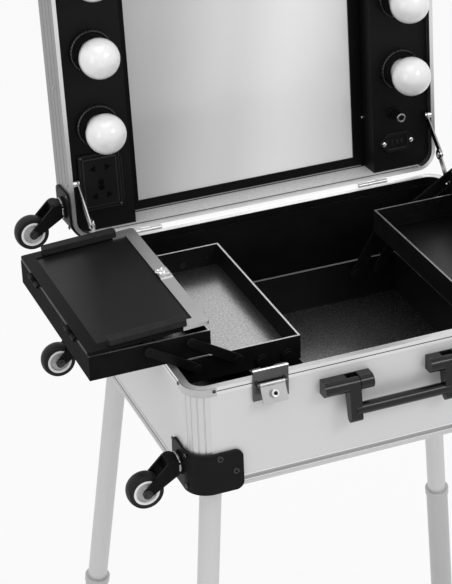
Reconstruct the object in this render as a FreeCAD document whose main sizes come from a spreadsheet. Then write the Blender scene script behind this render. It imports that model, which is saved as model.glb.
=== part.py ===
import FreeCAD, Part
import math
import os
import re

import Sketcher

# Rolling makeup train case on four telescopic legs, lid raised and trays swung out.
# Case frame while building: X to the right along the front wall, Y to the back, Z up,
# zero at the middle of the case's underside. The finished model is moved at the end so
# that its zero is on the floor, under the middle of its outline.

Vector = FreeCAD.Vector
Rotation = FreeCAD.Rotation
Placement = FreeCAD.Placement

# Driving dimensions in millimetres and degrees
SIZES = {
    # case shell
    "case_width": 520,
    "case_depth": 410,
    "case_height": 139,
    "post_radius": 25.5,
    "rim_height": 10,
    "rim_inset": 8.6,
    "rim_groove": 1.2,
    "rail_height": 13.5,
    "rail_inset": 9,
    "panel_thick": 4,
    "panel_setback": 0.8,
    "lining_thick": 2.4,
    "flute_radius": 0.9,
    # carrier that holds the trays
    "carrier_centre": 18.5,
    "carrier_half_width": 147,
    "carrier_wall": 4,
    "carrier_above_pivot": 13.4,
    "carrier_gap": 1.8,
    "pocket_depth": 44.6,
    # tray links
    "lower_link_length": 80.6,
    "lower_link_angle": 58.6,
    "upper_link_length": 67.7,
    "upper_link_angle": 31.5,
    "base_pivot_reach": 86.7,
    "lower_pivot_pitch": 32.8,
    "upper_pivot_pitch_left": 51.6,
    "upper_pivot_pitch_right": 34,
    "lower_link_width": 15,
    "upper_link_width": 11,
    "link_thick": 3,
    "link_gap": 1.6,
    "pin_radius": 3,
    "pin_clearance": 0.06,
    "pin_head_radius": 4.6,
    "pin_head_thick": 1,
    "head_gap": 0.2,
    # trays
    "tray_height": 31.5,
    "tray_wall": 2.5,
    "tray_side_gap_left": 9.5,
    "tray_side_gap_right": 4.5,
    "upper_width": 149,
    "lower_pivot_inset": 17.8,
    "lower_pivot_drop": 20.2,
    "upper_pivot_outset_left": 15.9,
    "upper_pivot_outset_right": 21,
    "upper_pivot_drop": 8,
    "upper_overlap_left": 36.7,
    "upper_overlap_right": 4.7,
    "top_pivot_rise": 25.4,
    # tray covers
    "cover_strip": 16,
    "cover_round": 4,
    "cover_thick": 4.5,
    "cover_panel_thick": 3,
    "cover_gap": 0.6,
    "cover_ajar_angle": 3,
    "cover_hinge_out": 2.4,
    "cover_hinge_reach": 72,
    "cover_knuckle": 12,
    "cover_knuckle_radius": 2,
    "cover_pin_radius": 1,
    "knuckle_gap": 0.1,
    "cover_latch_width": 24,
    "cover_tongue_width": 10,
    "cover_latch_lift": 8.3,
    "cover_bar_length": 96,
    "cover_bar_width": 13,
    "cover_bar_height": 8,
    "cover_bar_round": 3,
    # lid
    "lid_open_angle": 94,
    "hinge_back": 5,
    "lid_rim_gap": 3,
    "lid_side_gap": 3.2,
    "lid_depth": 62,
    "lid_wall": 5.2,
    "lid_panel_thick": 4,
    "knuckle_radius": 3,
    "hinge_pin_radius": 1.5,
    "knuckle_length": 14,
    "hinge_inset": 97,
    "leaf_length": 34,
    "leaf_thick": 1.4,
    # mirror and lamps
    "mirror_depth": 45,
    "mirror_setback": 2,
    "mirror_thick": 4,
    "mirror_side_gap": 1,
    "mirror_frame_width": 15,
    "lamp_panel_depth": 13,
    "lamp_panel_width": 82.8,
    "lamp_panel_wall": 2.5,
    "lamp_first": 150.5,
    "lamp_top_inset": 58.5,
    "bulb_radius": 26,
    "bulb_neck_radius": 15.5,
    "bulb_stand": 38,
    "holder_radius": 27,
    "holder_height": 9,
    "holder_step": 2.2,
    "holder_bore": 17,
    "socket_width": 54,
    "socket_height": 64,
    "socket_thick": 5,
    "socket_round": 5,
    "socket_rise": 76,
    "socket_border": 6,
    "socket_recess": 1.5,
    "socket_hole_depth": 3.5,
    "socket_slot_width": 3,
    "socket_slot_length": 11,
    "socket_slot_pitch": 13,
    "socket_slot_rise": 8,
    "socket_earth_drop": 11,
    "socket_earth_radius": 3.2,
    "inlet_pitch": 40,
    "inlet_ear": 11,
    "inlet_round": 2,
    "inlet_point": 27,
    "inlet_thick": 3,
    "inlet_height": 26,
    "inlet_rise": 48,
    "inlet_shift": 6.5,
    "inlet_mouth_width": 29,
    "inlet_mouth_height": 19,
    "inlet_mouth_round": 4,
    "inlet_recess": 2.4,
    "inlet_blade_width": 2,
    "inlet_blade_height": 4.5,
    "inlet_blade_pitch": 7,
    "dimmer_rise": 90,
    "dimmer_shift": 10.5,
    "dimmer_radius": 6.6,
    "dimmer_tip_radius": 6,
    "dimmer_collar_radius": 8.4,
    "dimmer_collar": 3,
    "dimmer_length": 25,
    # folding lid stays
    "stay_side_gap": 1.7,
    "stay_lid_pivot": 79.7,
    "stay_lid_depth": 6.7,
    "stay_base_back": 57,
    "stay_base_rise": 13,
    "stay_plate_width": 12,
    "stay_plate_foot": 8,
    "stay_plate_thick": 1.5,
    "stay_upper_length": 60.4,
    "stay_lower_length": 35.6,
    "stay_pin_radius": 2.2,
    "stay_arm_gap": 0.5,
    "stay_width": 10,
    "stay_thick": 1.8,
    # latches and handle
    "latch_inset": 99,
    "latch_lip": 1.6,
    "latch_width": 44,
    "latch_top": 10,
    "latch_drop": 29,
    "latch_plate_thick": 2.5,
    "flap_width": 31,
    "flap_length": 23,
    "flap_thick": 2.2,
    "flap_hinge_drop": 7,
    "flap_ajar_angle": 27,
    "flap_round": 3,
    "flap_hinge_out": 3.5,
    "flap_barrel": 2.6,
    "ear_thick": 3,
    "lock_length": 4,
    "lock_drop": 12,
    "lock_radius": 5,
    "handle_reach": 61.5,
    "handle_drop": 21,
    "handle_pivot_out": 10,
    "handle_bar_out": 6,
    "handle_bar_drop": 32,
    "grip_radius": 7.4,
    "arm_width": 16,
    "arm_tip": 12,
    "arm_tail": 9,
    "arm_thick": 15,
    "arm_gap": 0.5,
    "mount_shift": 6.5,
    "mount_width": 62,
    "mount_radius": 9.4,
    "mount_seat": 3,
    # casters
    "clip_thick": 1,
    "clip_reach": 33,
    "bracket_reach": 62,
    "lid_bracket_depth": 7,
    "bracket_height": 54,
    "bracket_thick": 3,
    "bracket_round": 10,
    "bracket_drop": 2.5,
    "caster_inset": 37,
    "caster_height": 27,
    "lid_caster_depth": 33,
    "wheel_radius": 22.6,
    "wheel_width": 17,
    "tyre_thick": 6.6,
    "hub_lip": 3,
    "hub_boss": 7,
    "hub_recess": 2.5,
    "wheel_out": 45,
    "wheel_trail": 26,
    "swivel_radius": 15,
    "swivel_thick": 5,
    "swivel_plate": 2,
    "race_radius": 12,
    "cheek_tip": 11,
    "crown_length": 13,
    "crown_height": 21,
    "crown_round": 5,
    "stem_radius": 5,
    "fork_wall": 3,
    "fork_gap": 1.5,
    "axle_radius": 3,
    # legs
    "leg_inset_x": 36,
    "leg_inset_y": 39,
    "leg_splay": 0.111,
    "leg_height": 690,
    "leg_tube_radius": 13.3,
    "leg_tube_wall": 1.5,
    "leg_tube_length": 520,
    "leg_sleeve_radius": 15.8,
    "leg_sleeve_top": 385,
    "leg_collar": 9,
    "leg_collar_lip": 1.4,
    "leg_socket_radius": 16.5,
    "leg_socket_length": 14,
    "leg_socket_plate": 56,
    "leg_plate_thick": 3,
    "foot_radius": 19,
    "foot_height": 34,
    "leg_foot_floor": 9,
    "leg_tube_start": 5,
    "slide_clearance": 0.06,
}

doc = FreeCAD.newDocument("train_case")
sheet = doc.addObject("Spreadsheet::Sheet", "Sizes")
for row, (alias, value) in enumerate(SIZES.items(), 1):
    sheet.set(f"A{row}", alias.replace("_", " "))
    sheet.set(f"B{row}", str(value))
    sheet.setAlias(f"B{row}", alias)
doc.recompute()

NODES = []
AXIS_TURN = {
    "x": Rotation(Vector(0, 1, 0), 90),
    "y": Rotation(Vector(1, 0, 0), -90),
    "z": Rotation(),
}


def size(alias):
    """Value of one sheet cell."""
    return float(sheet.get(alias))


def bind(part, prop, text):
    """Tie a property to the sheet: text is a sum of sheet names, or a worked-out number."""
    words = re.sub(r"[a-z_]{4,}", lambda m: "Sizes." + m.group(0), str(text))
    part.setExpression(prop, words)


def place(part, at):
    """Tie the three coordinates of a part's place to the sheet."""
    for axis, text in zip("xyz", at):
        bind(part, "Placement.Base." + axis, text)
    return part


def block(low, span):
    """Box from its low corner and its three lengths."""
    part = doc.addObject("Part::Box", "Block")
    for prop, text in zip(("Length", "Width", "Height"), span):
        bind(part, prop, text)
    return place(part, low)


def rod(start, radius, length, axis="z"):
    """Round bar along one axis from the middle of its first end."""
    part = doc.addObject("Part::Cylinder", "Rod")
    bind(part, "Radius", radius)
    bind(part, "Height", length)
    part.Placement = Placement(Vector(), AXIS_TURN[axis])
    return place(part, start)


def taper(start, radius, end_radius, length, axis="z"):
    """Cone along one axis from the middle of its first end."""
    part = doc.addObject("Part::Cone", "Taper")
    bind(part, "Radius1", radius)
    bind(part, "Radius2", end_radius)
    bind(part, "Height", length)
    part.Placement = Placement(Vector(), AXIS_TURN[axis])
    return place(part, start)


def diamond(start, reach, length, axis="z"):
    """Square bar standing on its edge, from the middle of its first end."""
    part = doc.addObject("Part::Prism", "Diamond")
    part.Polygon = 4
    bind(part, "Circumradius", reach)
    bind(part, "Height", length)
    part.Placement = Placement(Vector(), AXIS_TURN[axis])
    return place(part, start)


def ball(centre, radius):
    """Ball round its middle."""
    part = doc.addObject("Part::Sphere", "Ball")
    bind(part, "Radius", radius)
    return place(part, centre)


def fuse(*parts):
    """Several parts grown into one."""
    part = doc.addObject("Part::MultiFuse", "Joined")
    part.Shapes = list(parts)
    part.Refine = True
    return part


def cut(base, *tools):
    """A part with others taken out of it."""
    part = doc.addObject("Part::Cut", "Opened")
    part.Base = base
    part.Tool = tools[0] if len(tools) == 1 else fuse(*tools)
    return part


def common(base, tool):
    """What two parts share."""
    part = doc.addObject("Part::Common", "Shared")
    part.Base = base
    part.Tool = tool
    return part


def group(*parts):
    """Several separate solids kept together as one node."""
    part = doc.addObject("Part::Compound", "Set")
    part.Links = list(parts)
    return part


def placed(part, placement):
    """The same part, carried to another place."""
    moved = group(part)
    moved.Placement = placement
    return moved


def node(label, part, placement=Placement()):
    """Name a finished piece and put it in its place."""
    piece = placed(part, placement)
    piece.Label = label
    NODES.append(piece)


def base_plane(body):
    """Ground plane of a body."""
    return next(f for f in body.Origin.OriginFeatures if f.Role == "XY_Plane")


def new_sketch(name):
    """Empty body with an empty sketch on its ground plane."""
    body = doc.addObject("PartDesign::Body", name)
    sketch = body.newObject("Sketcher::SketchObject", "Outline")
    sketch.AttachmentSupport = (base_plane(body), [""])
    sketch.MapMode = "FlatFace"
    return body, sketch


def pad(body, sketch, length):
    """Raise a body's sketch to a solid."""
    feature = body.newObject("PartDesign::Pad", "Pad")
    feature.Profile = sketch
    bind(feature, "Length", length)
    body.Tip = feature
    sketch.Visibility = False
    return body


def number(text):
    """Work a sum of sheet names out as a number, for a sketch's first drawing."""
    probe = sheet.evalExpression(re.sub(r"([a-z_]{4,})", r"<<Sizes>>.\1", str(text)))
    return float(probe.Value if hasattr(probe, "Value") else probe)


def name_rule(sketch, rule, name, text):
    """Add a measured rule to a sketch and tie it to the sheet."""
    index = sketch.addConstraint(rule)
    sketch.renameConstraint(index, name)
    bind(sketch, "Constraints." + name, text)


def rounded(width, depth, radius, height, centre, along="z"):
    """Prism with a rounded rectangle as its outline, from the middle of its first face."""
    body, sketch = new_sketch("Prism")
    half_w = number(width) / 2
    half_d = number(depth) / 2
    r = number(radius)
    up = Vector(0, 0, 1)
    far_x = half_w - r
    far_y = half_d - r
    corners = [(far_x, -far_y), (far_x, far_y), (-far_x, far_y), (-far_x, -far_y)]
    for turn, (x, y) in enumerate(corners):
        start = math.pi / 2 * (turn - 1)
        circle = Part.Circle(Vector(x, y, 0), up, r)
        sketch.addGeometry(Part.ArcOfCircle(circle, start, start + math.pi / 2))
    for turn in range(4):
        ahead = (turn + 1) % 4
        side = Vector(math.cos(math.pi / 2 * turn), math.sin(math.pi / 2 * turn), 0) * r
        first = Vector(*corners[turn], 0) + side
        last = Vector(*corners[ahead], 0) + side
        line = sketch.addGeometry(Part.LineSegment(first, last))
        sketch.addConstraint(Sketcher.Constraint("Tangent", turn, 2, line, 1))
        sketch.addConstraint(Sketcher.Constraint("Tangent", line, 2, ahead, 1))
        flat = "Vertical" if turn % 2 == 0 else "Horizontal"
        sketch.addConstraint(Sketcher.Constraint(flat, line))
    for turn in range(1, 4):
        sketch.addConstraint(Sketcher.Constraint("Equal", 0, turn))
    sketch.addConstraint(Sketcher.Constraint("Symmetric", 0, 3, 2, 3, -1, 1))
    name_rule(sketch, Sketcher.Constraint("Radius", 0, r), "Round", radius)
    name_rule(sketch, Sketcher.Constraint("DistanceX", 6, 1, 4, 1, 2 * half_w), "Across", width)
    name_rule(sketch, Sketcher.Constraint("DistanceY", 7, 1, 5, 1, 2 * half_d), "Along", depth)
    pad(body, sketch, height)
    body.Placement = Placement(Vector(), AXIS_TURN[along])
    return place(body, centre)


def strap(length, width, thick, hole, far_width=None, bored=(0, 1)):
    """Flat bar with round ends and a hole at each bored end, from the first end along X."""
    body, sketch = new_sketch("Strap")
    reach = number(length)
    widths = (width, far_width or width)
    radii = [number(text) / 2 for text in widths]
    ends = (Vector(), Vector(reach, 0, 0))
    up = Vector(0, 0, 1)
    lean = math.acos((radii[0] - radii[1]) / reach)
    over = Vector(math.cos(lean), math.sin(lean), 0)
    under = Vector(math.cos(lean), -math.sin(lean), 0)
    for centre, r, turn in zip(ends, radii, ((lean, 2 * math.pi - lean), (-lean, lean))):
        sketch.addGeometry(Part.ArcOfCircle(Part.Circle(centre, up, r), *turn))
    sketch.addGeometry(Part.LineSegment(under * radii[0], ends[1] + under * radii[1]))
    sketch.addGeometry(Part.LineSegment(ends[1] + over * radii[1], over * radii[0]))
    for first, second in ((0, 2), (2, 1), (1, 3), (3, 0)):
        sketch.addConstraint(Sketcher.Constraint("Tangent", first, 2, second, 1))
    sketch.addConstraint(Sketcher.Constraint("Coincident", 0, 3, -1, 1))
    sketch.addConstraint(Sketcher.Constraint("PointOnObject", 1, 3, -1))
    name_rule(sketch, Sketcher.Constraint("DistanceX", 0, 3, 1, 3, reach), "Reach", length)
    for end, text in enumerate(widths):
        name_rule(sketch, Sketcher.Constraint("Radius", end, radii[end]), f"Round{end}", f"({text}) / 2")
    for end in bored:
        ring = sketch.addGeometry(Part.Circle(ends[end], up, number(hole)))
        sketch.addConstraint(Sketcher.Constraint("Coincident", ring, 3, end, 3))
        name_rule(sketch, Sketcher.Constraint("Radius", ring, number(hole)), f"Hole{end}", hole)
    return pad(body, sketch, thick)


def rivet(x, z, way, near, far):
    """Pin along Y with a head on each end; near and far are its ends' distances from the middle."""
    head = "pin_head_thick"
    start = near if way > 0 else f"-({far})"
    end = far if way > 0 else f"-({near})"
    return fuse(
        rod((x, start, z), "pin_radius", f"{far} - ({near})", "y"),
        rod((x, f"{start} - {head}", z), "pin_head_radius", head, "y"),
        rod((x, end, z), "pin_head_radius", head, "y"),
    )


def pin_bore(x, z, half_depth):
    """Running bore for a pin through the front and the rear wall."""
    return rod((x, f"-({half_depth})", z), "pin_radius + pin_clearance", f"2 * ({half_depth})", "y")


# Places that follow from the case's size
CARRIER_DEPTH = "(case_depth / 2 - rail_inset - lining_thick - carrier_wall - pocket_depth)"
TRAY_DEPTH = f"({CARRIER_DEPTH} - 2 * (link_gap + link_thick) - carrier_gap)"
LAMP_INNER = "(case_width / 2 - lid_wall - lamp_panel_width)"
LAMP_REACH = "(case_width / 2 - lid_wall - lamp_panel_width / 2)"
LAMP_ROWS = 3
LAMP_RUN = "(lid_side_gap + case_depth - lid_wall - lamp_top_inset - lamp_first)"
MIRROR_HALF = f"({LAMP_INNER} - mirror_side_gap - mirror_frame_width)"
LATCH_REACH = "(case_width / 2 - latch_inset)"
HANDLE_Z = "(case_height - rim_height - handle_drop)"
HINGE_REACH = "(case_width / 2 - hinge_inset)"
KNUCKLES = 3
FLUTES = 4
SIDES = {"left": -1, "right": 1}

# Places along the tray linkage, measured outward from the carrier's middle plane
LOWER_TURN = math.radians(size("lower_link_angle"))
UPPER_TURN = math.radians(size("upper_link_angle"))
LOWER_RUN = f"lower_link_length * {math.cos(LOWER_TURN)}"
LOWER_LIFT = f"lower_link_length * {math.sin(LOWER_TURN)}"
UPPER_RUN = f"upper_link_length * {math.cos(UPPER_TURN)}"
UPPER_LIFT = f"upper_link_length * {math.sin(UPPER_TURN)}"
LOWER_PIVOT = f"(base_pivot_reach + {LOWER_RUN})"
LOWER_EDGE = f"({LOWER_PIVOT} - lower_pivot_inset)"
LOWER_TOP_Z = "case_height"
LOWER_PIVOT_Z = f"({LOWER_TOP_Z} - lower_pivot_drop)"
BASE_PIVOT_Z = f"({LOWER_PIVOT_Z} - {LOWER_LIFT})"
UPPER_PIVOT_Z = f"({LOWER_TOP_Z} - upper_pivot_drop)"
TOP_PIVOT_Z = f"({UPPER_PIVOT_Z} + {UPPER_LIFT})"
UPPER_BOTTOM_Z = f"({TOP_PIVOT_Z} - top_pivot_rise)"
UPPER_TOP_Z = f"({UPPER_BOTTOM_Z} + tray_height)"
LOWER_PLANE = f"({TRAY_DEPTH} + link_gap)"
UPPER_PLANE = f"({LOWER_PLANE} + link_thick + link_gap)"


def lower_width(name):
    """Width of a lower tray, which ends a little inside the rim."""
    inside = f"case_width / 2 - rim_inset - tray_side_gap_{name}"
    return f"({inside} + {-SIDES[name]} * carrier_centre - {LOWER_EDGE})"


def upper_foot(name):
    """Distance outward to the inner pin of the upper links on the lower tray."""
    return f"({LOWER_EDGE} + {lower_width(name)} - upper_pivot_outset_{name} - upper_pivot_pitch_{name})"


def upper_edge(name):
    """Distance outward to the upper tray's inner edge."""
    return f"({LOWER_EDGE} + {lower_width(name)} - upper_overlap_{name})"


def across(side, reach):
    """X of a point that lies reach outward from the carrier's middle plane."""
    return f"carrier_centre + {side} * ({reach})"


def low_across(side, reach, width):
    """X of the low edge of something width wide that starts reach outward."""
    return across(side, reach) if side > 0 else across(side, f"{reach} + {width}")


# Lid frame: X as the case, Y from the rim towards the lid's back, Z up along the lid
LEAN = size("lid_open_angle") - 90
HINGE = Vector(0, size("case_depth") / 2 + size("hinge_back"), size("case_height"))
LID = Placement(HINGE, Rotation(Vector(1, 0, 0), -LEAN))
LID_MIDDLE = "lid_side_gap + case_depth / 2"


def lid_rounded(width, height, radius, thick, x, depth, middle):
    """Rounded plate in the lid, seen from the front, with its front face at depth."""
    return rounded(width, height, radius, thick, (x, depth, middle), "y")


def lid_ring(out, inset, depth, thick):
    """Ring round the lid, from out beyond its outline to inset within it."""
    outer = (f"case_width + 2 * ({out})", f"case_depth + 2 * ({out})", f"post_radius + {out}")
    inner = (f"case_width - 2 * ({inset})", f"case_depth - 2 * ({inset})", f"post_radius - ({inset})")
    seat = (thick, "0", depth, LID_MIDDLE)
    return cut(lid_rounded(*outer, *seat), lid_rounded(*inner, *seat))


def case_plate(inset, low_z, height):
    """Plate with the case's rounded outline, smaller by inset all round."""
    outline = (f"case_width - 2 * ({inset})", f"case_depth - 2 * ({inset})", f"post_radius - ({inset})")
    return rounded(*outline, height, ("0", "0", low_z))


def case_ring(out, inset, low_z, height):
    """Ring round the case, from out beyond its outline to inset within it."""
    return cut(case_plate(f"-({out})", low_z, height), case_plate(inset, low_z, height))


def groove(middle_z):
    """Fine groove round the case's outline."""
    return case_ring("rim_groove", "rim_groove / 2", f"{middle_z} - rim_groove / 2", "rim_groove")


def build_shell():
    """Panels, corner posts, rim, rail, floor and lining of the case."""
    side_run = "case_depth - 2 * post_radius"
    front_run = "case_width - 2 * post_radius"
    wall = "case_height - rim_height - rail_height"
    left_x = "panel_setback - case_width / 2"
    right_x = "case_width / 2 - panel_setback - panel_thick"
    front_y = "panel_setback - case_depth / 2"
    rear_y = "case_depth / 2 - panel_setback - panel_thick"
    panels = []
    for y in (front_y, rear_y):
        panels.append(block((f"-({front_run}) / 2", y, "rail_height"), (front_run, "panel_thick", wall)))
    for x in (left_x, right_x):
        panels.append(block((x, f"-({side_run}) / 2", "rail_height"), ("panel_thick", side_run, wall)))
    node("wall_panels", group(*panels))

    posts = []
    face = "(post_radius - panel_setback)"
    for turn in range(4):
        sx = 1 if turn in (0, 3) else -1
        sy = 1 if turn in (0, 1) else -1
        x = f"{sx} * (case_width / 2 - post_radius)"
        y = f"{sy} * (case_depth / 2 - post_radius)"
        outer = rod((x, y, "rail_height"), face, wall)
        inner = rod((x, y, "rail_height"), f"{face} - panel_thick", wall)
        for arc in (outer, inner):
            arc.Angle = 90
            arc.Placement = Placement(arc.Placement.Base, Rotation(Vector(0, 0, 1), 90 * turn))
        flutes = []
        for flute in range(FLUTES):
            aim = math.pi / 2 * (turn + (flute + 1) / (FLUTES + 1))
            spot = (f"{x} + {face} * {math.cos(aim)}", f"{y} + {face} * {math.sin(aim)}", "rail_height")
            flutes.append(rod(spot, "flute_radius", wall))
        posts.append(cut(outer, inner, *flutes))
    node("corner_posts", group(*posts))

    rim_z = "case_height - rim_height"
    rim = case_ring("0", "rim_inset", rim_z, "rim_height")
    node("top_rim", cut(rim, groove("case_height - rim_height / 2")))
    rail_grooves = [groove(f"rail_height * {step} / 3") for step in (1, 2)]
    node("bottom_rail", cut(case_ring("0", "rail_inset", "0", "rail_height"), *rail_grooves))
    node("floor_panel", case_plate("rail_inset", "0", "panel_thick"))
    lining_wall = f"{rim_z} - panel_thick"
    node("lining", cut(case_plate("rail_inset", "panel_thick", lining_wall),
                       case_plate("rail_inset + lining_thick", "panel_thick + lining_thick", lining_wall)))


def build_carrier():
    """Inner compartment that carries the trays, bored for the pins of the lower links."""
    floor_z = "panel_thick + lining_thick"
    height = f"{BASE_PIVOT_Z} + carrier_above_pivot - ({floor_z})"
    wall_depth = f"{CARRIER_DEPTH} + carrier_wall"
    outer = block(
        ("carrier_centre - carrier_half_width - carrier_wall", f"-({wall_depth})", floor_z),
        ("2 * (carrier_half_width + carrier_wall)", f"2 * ({wall_depth})", height),
    )
    inner = block(
        ("carrier_centre - carrier_half_width", f"-{CARRIER_DEPTH}", floor_z),
        ("2 * carrier_half_width", f"2 * {CARRIER_DEPTH}", height),
    )
    bores = []
    for side in SIDES.values():
        for extra in ("0", "lower_pivot_pitch"):
            bores.append(pin_bore(across(side, f"base_pivot_reach + {extra}"), BASE_PIVOT_Z, wall_depth))
    node("tray_carrier", cut(outer, inner, *bores))


def link_pair(label, side, stage, foot, plane, foot_ends, head_ends):
    """Front and rear link on one axis, each with a pin at its foot and one at its head."""
    pieces = []
    length = f"{stage}_link_length"
    angle = size(f"{stage}_link_angle")
    turn = angle if side > 0 else 180 - angle
    tilt = Rotation(Vector(0, 1, 0), -turn).multiply(Rotation(Vector(1, 0, 0), 90))
    x, z = foot
    head_x = f"{x} + {length} * {math.cos(math.radians(turn))}"
    head_z = f"{z} + {length} * {math.sin(math.radians(turn))}"
    for way in SIDES.values():
        link = strap(length, f"{stage}_link_width", "link_thick", "pin_radius")
        link.Placement = Placement(Vector(), tilt)
        place(link, (x, f"-({plane})" if way < 0 else f"{plane} + link_thick", z))
        pieces.append(fuse(link, rivet(x, z, way, *foot_ends), rivet(head_x, head_z, way, *head_ends)))
    node(label, group(*pieces))


def open_tray(low, span, pivots):
    """Tray with a floor and four walls, bored for its pins."""
    inside_low = [f"{low[0]} + tray_wall", f"{low[1]} + tray_wall", f"{low[2]} + tray_wall"]
    inside_span = [f"{span[0]} - 2 * tray_wall", f"{span[1]} - 2 * tray_wall", span[2]]
    bores = [pin_bore(x, z, TRAY_DEPTH) for x, z in pivots]
    return cut(block(low, span), block(inside_low, inside_span), *bores)


def build_trays(name, side):
    """Both trays of one side, their links, and the flip cover of the upper one."""
    width = lower_width(name)
    depth = f"2 * {TRAY_DEPTH}"
    lower_shift = (("inner", "0"), ("outer", "lower_pivot_pitch"))
    upper_shift = (("inner", "0"), ("outer", f"upper_pivot_pitch_{name}"))
    lower_pivots = [(across(side, f"{LOWER_PIVOT} + {extra}"), LOWER_PIVOT_Z) for _, extra in lower_shift]
    foot = upper_foot(name)
    upper_pivots = [(across(side, f"{foot} + {extra}"), UPPER_PIVOT_Z) for _, extra in upper_shift]
    top_pivots = [(across(side, f"{foot} + {extra} + {UPPER_RUN}"), TOP_PIVOT_Z) for _, extra in upper_shift]
    inside = f"{TRAY_DEPTH} - tray_wall - head_gap"

    lower_low = (low_across(side, LOWER_EDGE, width), f"-{TRAY_DEPTH}", f"{LOWER_TOP_Z} - tray_height")
    lower_span = (width, depth, "tray_height")
    node(f"{name}_lower_tray", open_tray(lower_low, lower_span, lower_pivots + upper_pivots))
    upper_low = (low_across(side, upper_edge(name), "upper_width"), f"-{TRAY_DEPTH}", UPPER_BOTTOM_Z)
    upper = open_tray(upper_low, ("upper_width", depth, "tray_height"), top_pivots)
    node(f"{name}_upper_tray", group(upper, *cover_knuckles(name, on_tray=True)))

    carrier_outside = f"{CARRIER_DEPTH} + carrier_wall + head_gap"
    for which, extra in lower_shift:
        base = (across(side, f"base_pivot_reach + {extra}"), BASE_PIVOT_Z)
        link_pair(f"{name}_lower_links_{which}", side, "lower", base, LOWER_PLANE,
                  (LOWER_PLANE, carrier_outside), (inside, f"{LOWER_PLANE} + link_thick"))
    for (which, _), base in zip(upper_shift, upper_pivots):
        ends = (inside, f"{UPPER_PLANE} + link_thick")
        link_pair(f"{name}_upper_links_{which}", side, "upper", base, UPPER_PLANE, ends, ends)
    build_cover(name, side)


def cover_axis(name):
    """Place of a cover's hinge, just outside its tray's outer edge."""
    x = across(SIDES[name], f"{upper_edge(name)} + upper_width + cover_hinge_out")
    return x, f"({UPPER_TOP_Z} + cover_gap)"


def cover_knuckles(name, on_tray):
    """Knuckles of a cover's two hinges: the middle one on the tray with the pin, the others on the cover."""
    knuckles = []
    axis_x, axis_z = cover_axis(name)
    arm = "cover_hinge_out"
    low_x = axis_x if SIDES[name] < 0 else f"{axis_x} - {arm}"
    run = "cover_knuckle - 2 * knuckle_gap"
    for way in SIDES.values():
        first = f"{way} * cover_hinge_reach - {KNUCKLES} / 2 * cover_knuckle"
        for index in range(KNUCKLES):
            if (index == 1) != on_tray:
                continue
            y = f"{first} + {index} * cover_knuckle + knuckle_gap"
            barrel = rod((axis_x, y, axis_z), "cover_knuckle_radius", run, "y")
            low_z = f"{axis_z} - cover_knuckle_radius" if on_tray else axis_z
            web = block((low_x, y, low_z), (arm, run, "cover_knuckle_radius"))
            if on_tray:
                pin = rod((axis_x, first, axis_z), "cover_pin_radius", f"{KNUCKLES} * cover_knuckle", "y")
                knuckles.append(fuse(barrel, web, pin))
            else:
                bore = rod((axis_x, y, axis_z), "cover_pin_radius + pin_clearance", run, "y")
                knuckles.append(cut(fuse(barrel, web), bore))
    return knuckles


def build_cover(name, side):
    """Framed glossy panel hinged on the tray's outer edge, held a little ajar by its latch."""
    depth = f"2 * {TRAY_DEPTH}"
    width = "upper_width"
    frame_z = f"({UPPER_TOP_Z} + cover_gap)"
    top_z = f"{frame_z} + cover_thick"
    edge = upper_edge(name)
    low_x = low_across(side, edge, width)
    hole_low = (f"{low_x} + cover_strip", f"cover_strip - {TRAY_DEPTH}", frame_z)
    hole_width = f"{width} - 2 * cover_strip"
    hole_depth = f"{depth} - 2 * cover_strip"
    middle = f"{low_x} + {width} / 2"
    frame = cut(
        rounded(width, depth, "cover_round", "cover_thick", (middle, "0", frame_z)),
        block(hole_low, (hole_width, hole_depth, "cover_thick")),
    )
    panel = block(hole_low, (hole_width, hole_depth, "cover_panel_thick"))
    bars = []
    for way in SIDES.values():
        spot = (middle, f"{way} * ({TRAY_DEPTH} - cover_strip / 2)", top_z)
        outline = ("cover_bar_length", "cover_bar_width", "cover_bar_round")
        bars.append(rounded(*outline, "cover_bar_height", spot))
    axis_x, axis_z = cover_axis(name)
    pivot = Vector(number(axis_x), 0, number(axis_z))
    turn = Rotation(Vector(0, 1, 0), side * size("cover_ajar_angle"))
    ajar = Placement(pivot, turn).multiply(Placement(-pivot, Rotation()))
    plate = block((low_across(side, edge, "cover_strip"), "-cover_latch_width / 2", top_z),
                  ("cover_strip", "cover_latch_width", "leaf_thick"))
    tongue_rise = size("cover_latch_lift") / math.cos(math.radians(size("cover_ajar_angle")))
    tongue_z = f"{frame_z} - {tongue_rise}"
    tongue_low = (low_across(side, edge, "tray_wall"), "-cover_tongue_width / 2", tongue_z)
    tongue = block(tongue_low, ("tray_wall", "cover_tongue_width", tongue_rise))
    node(f"{name}_cover_frame", group(frame, plate, tongue, *cover_knuckles(name, on_tray=False)), ajar)
    node(f"{name}_cover_panel", group(panel, *bars), ajar)


LID_BACK = "(lid_rim_gap + lid_depth - lid_panel_thick)"
LID_LOW = "(lid_side_gap + lid_wall)"
LID_INNER_WIDTH = "(case_width - 2 * lid_wall)"
LID_INNER_HEIGHT = "(case_depth - 2 * lid_wall)"
LID_INNER = (LID_INNER_WIDTH, LID_INNER_HEIGHT, "(post_radius - lid_wall)")
LID_GROOVES = 3


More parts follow.
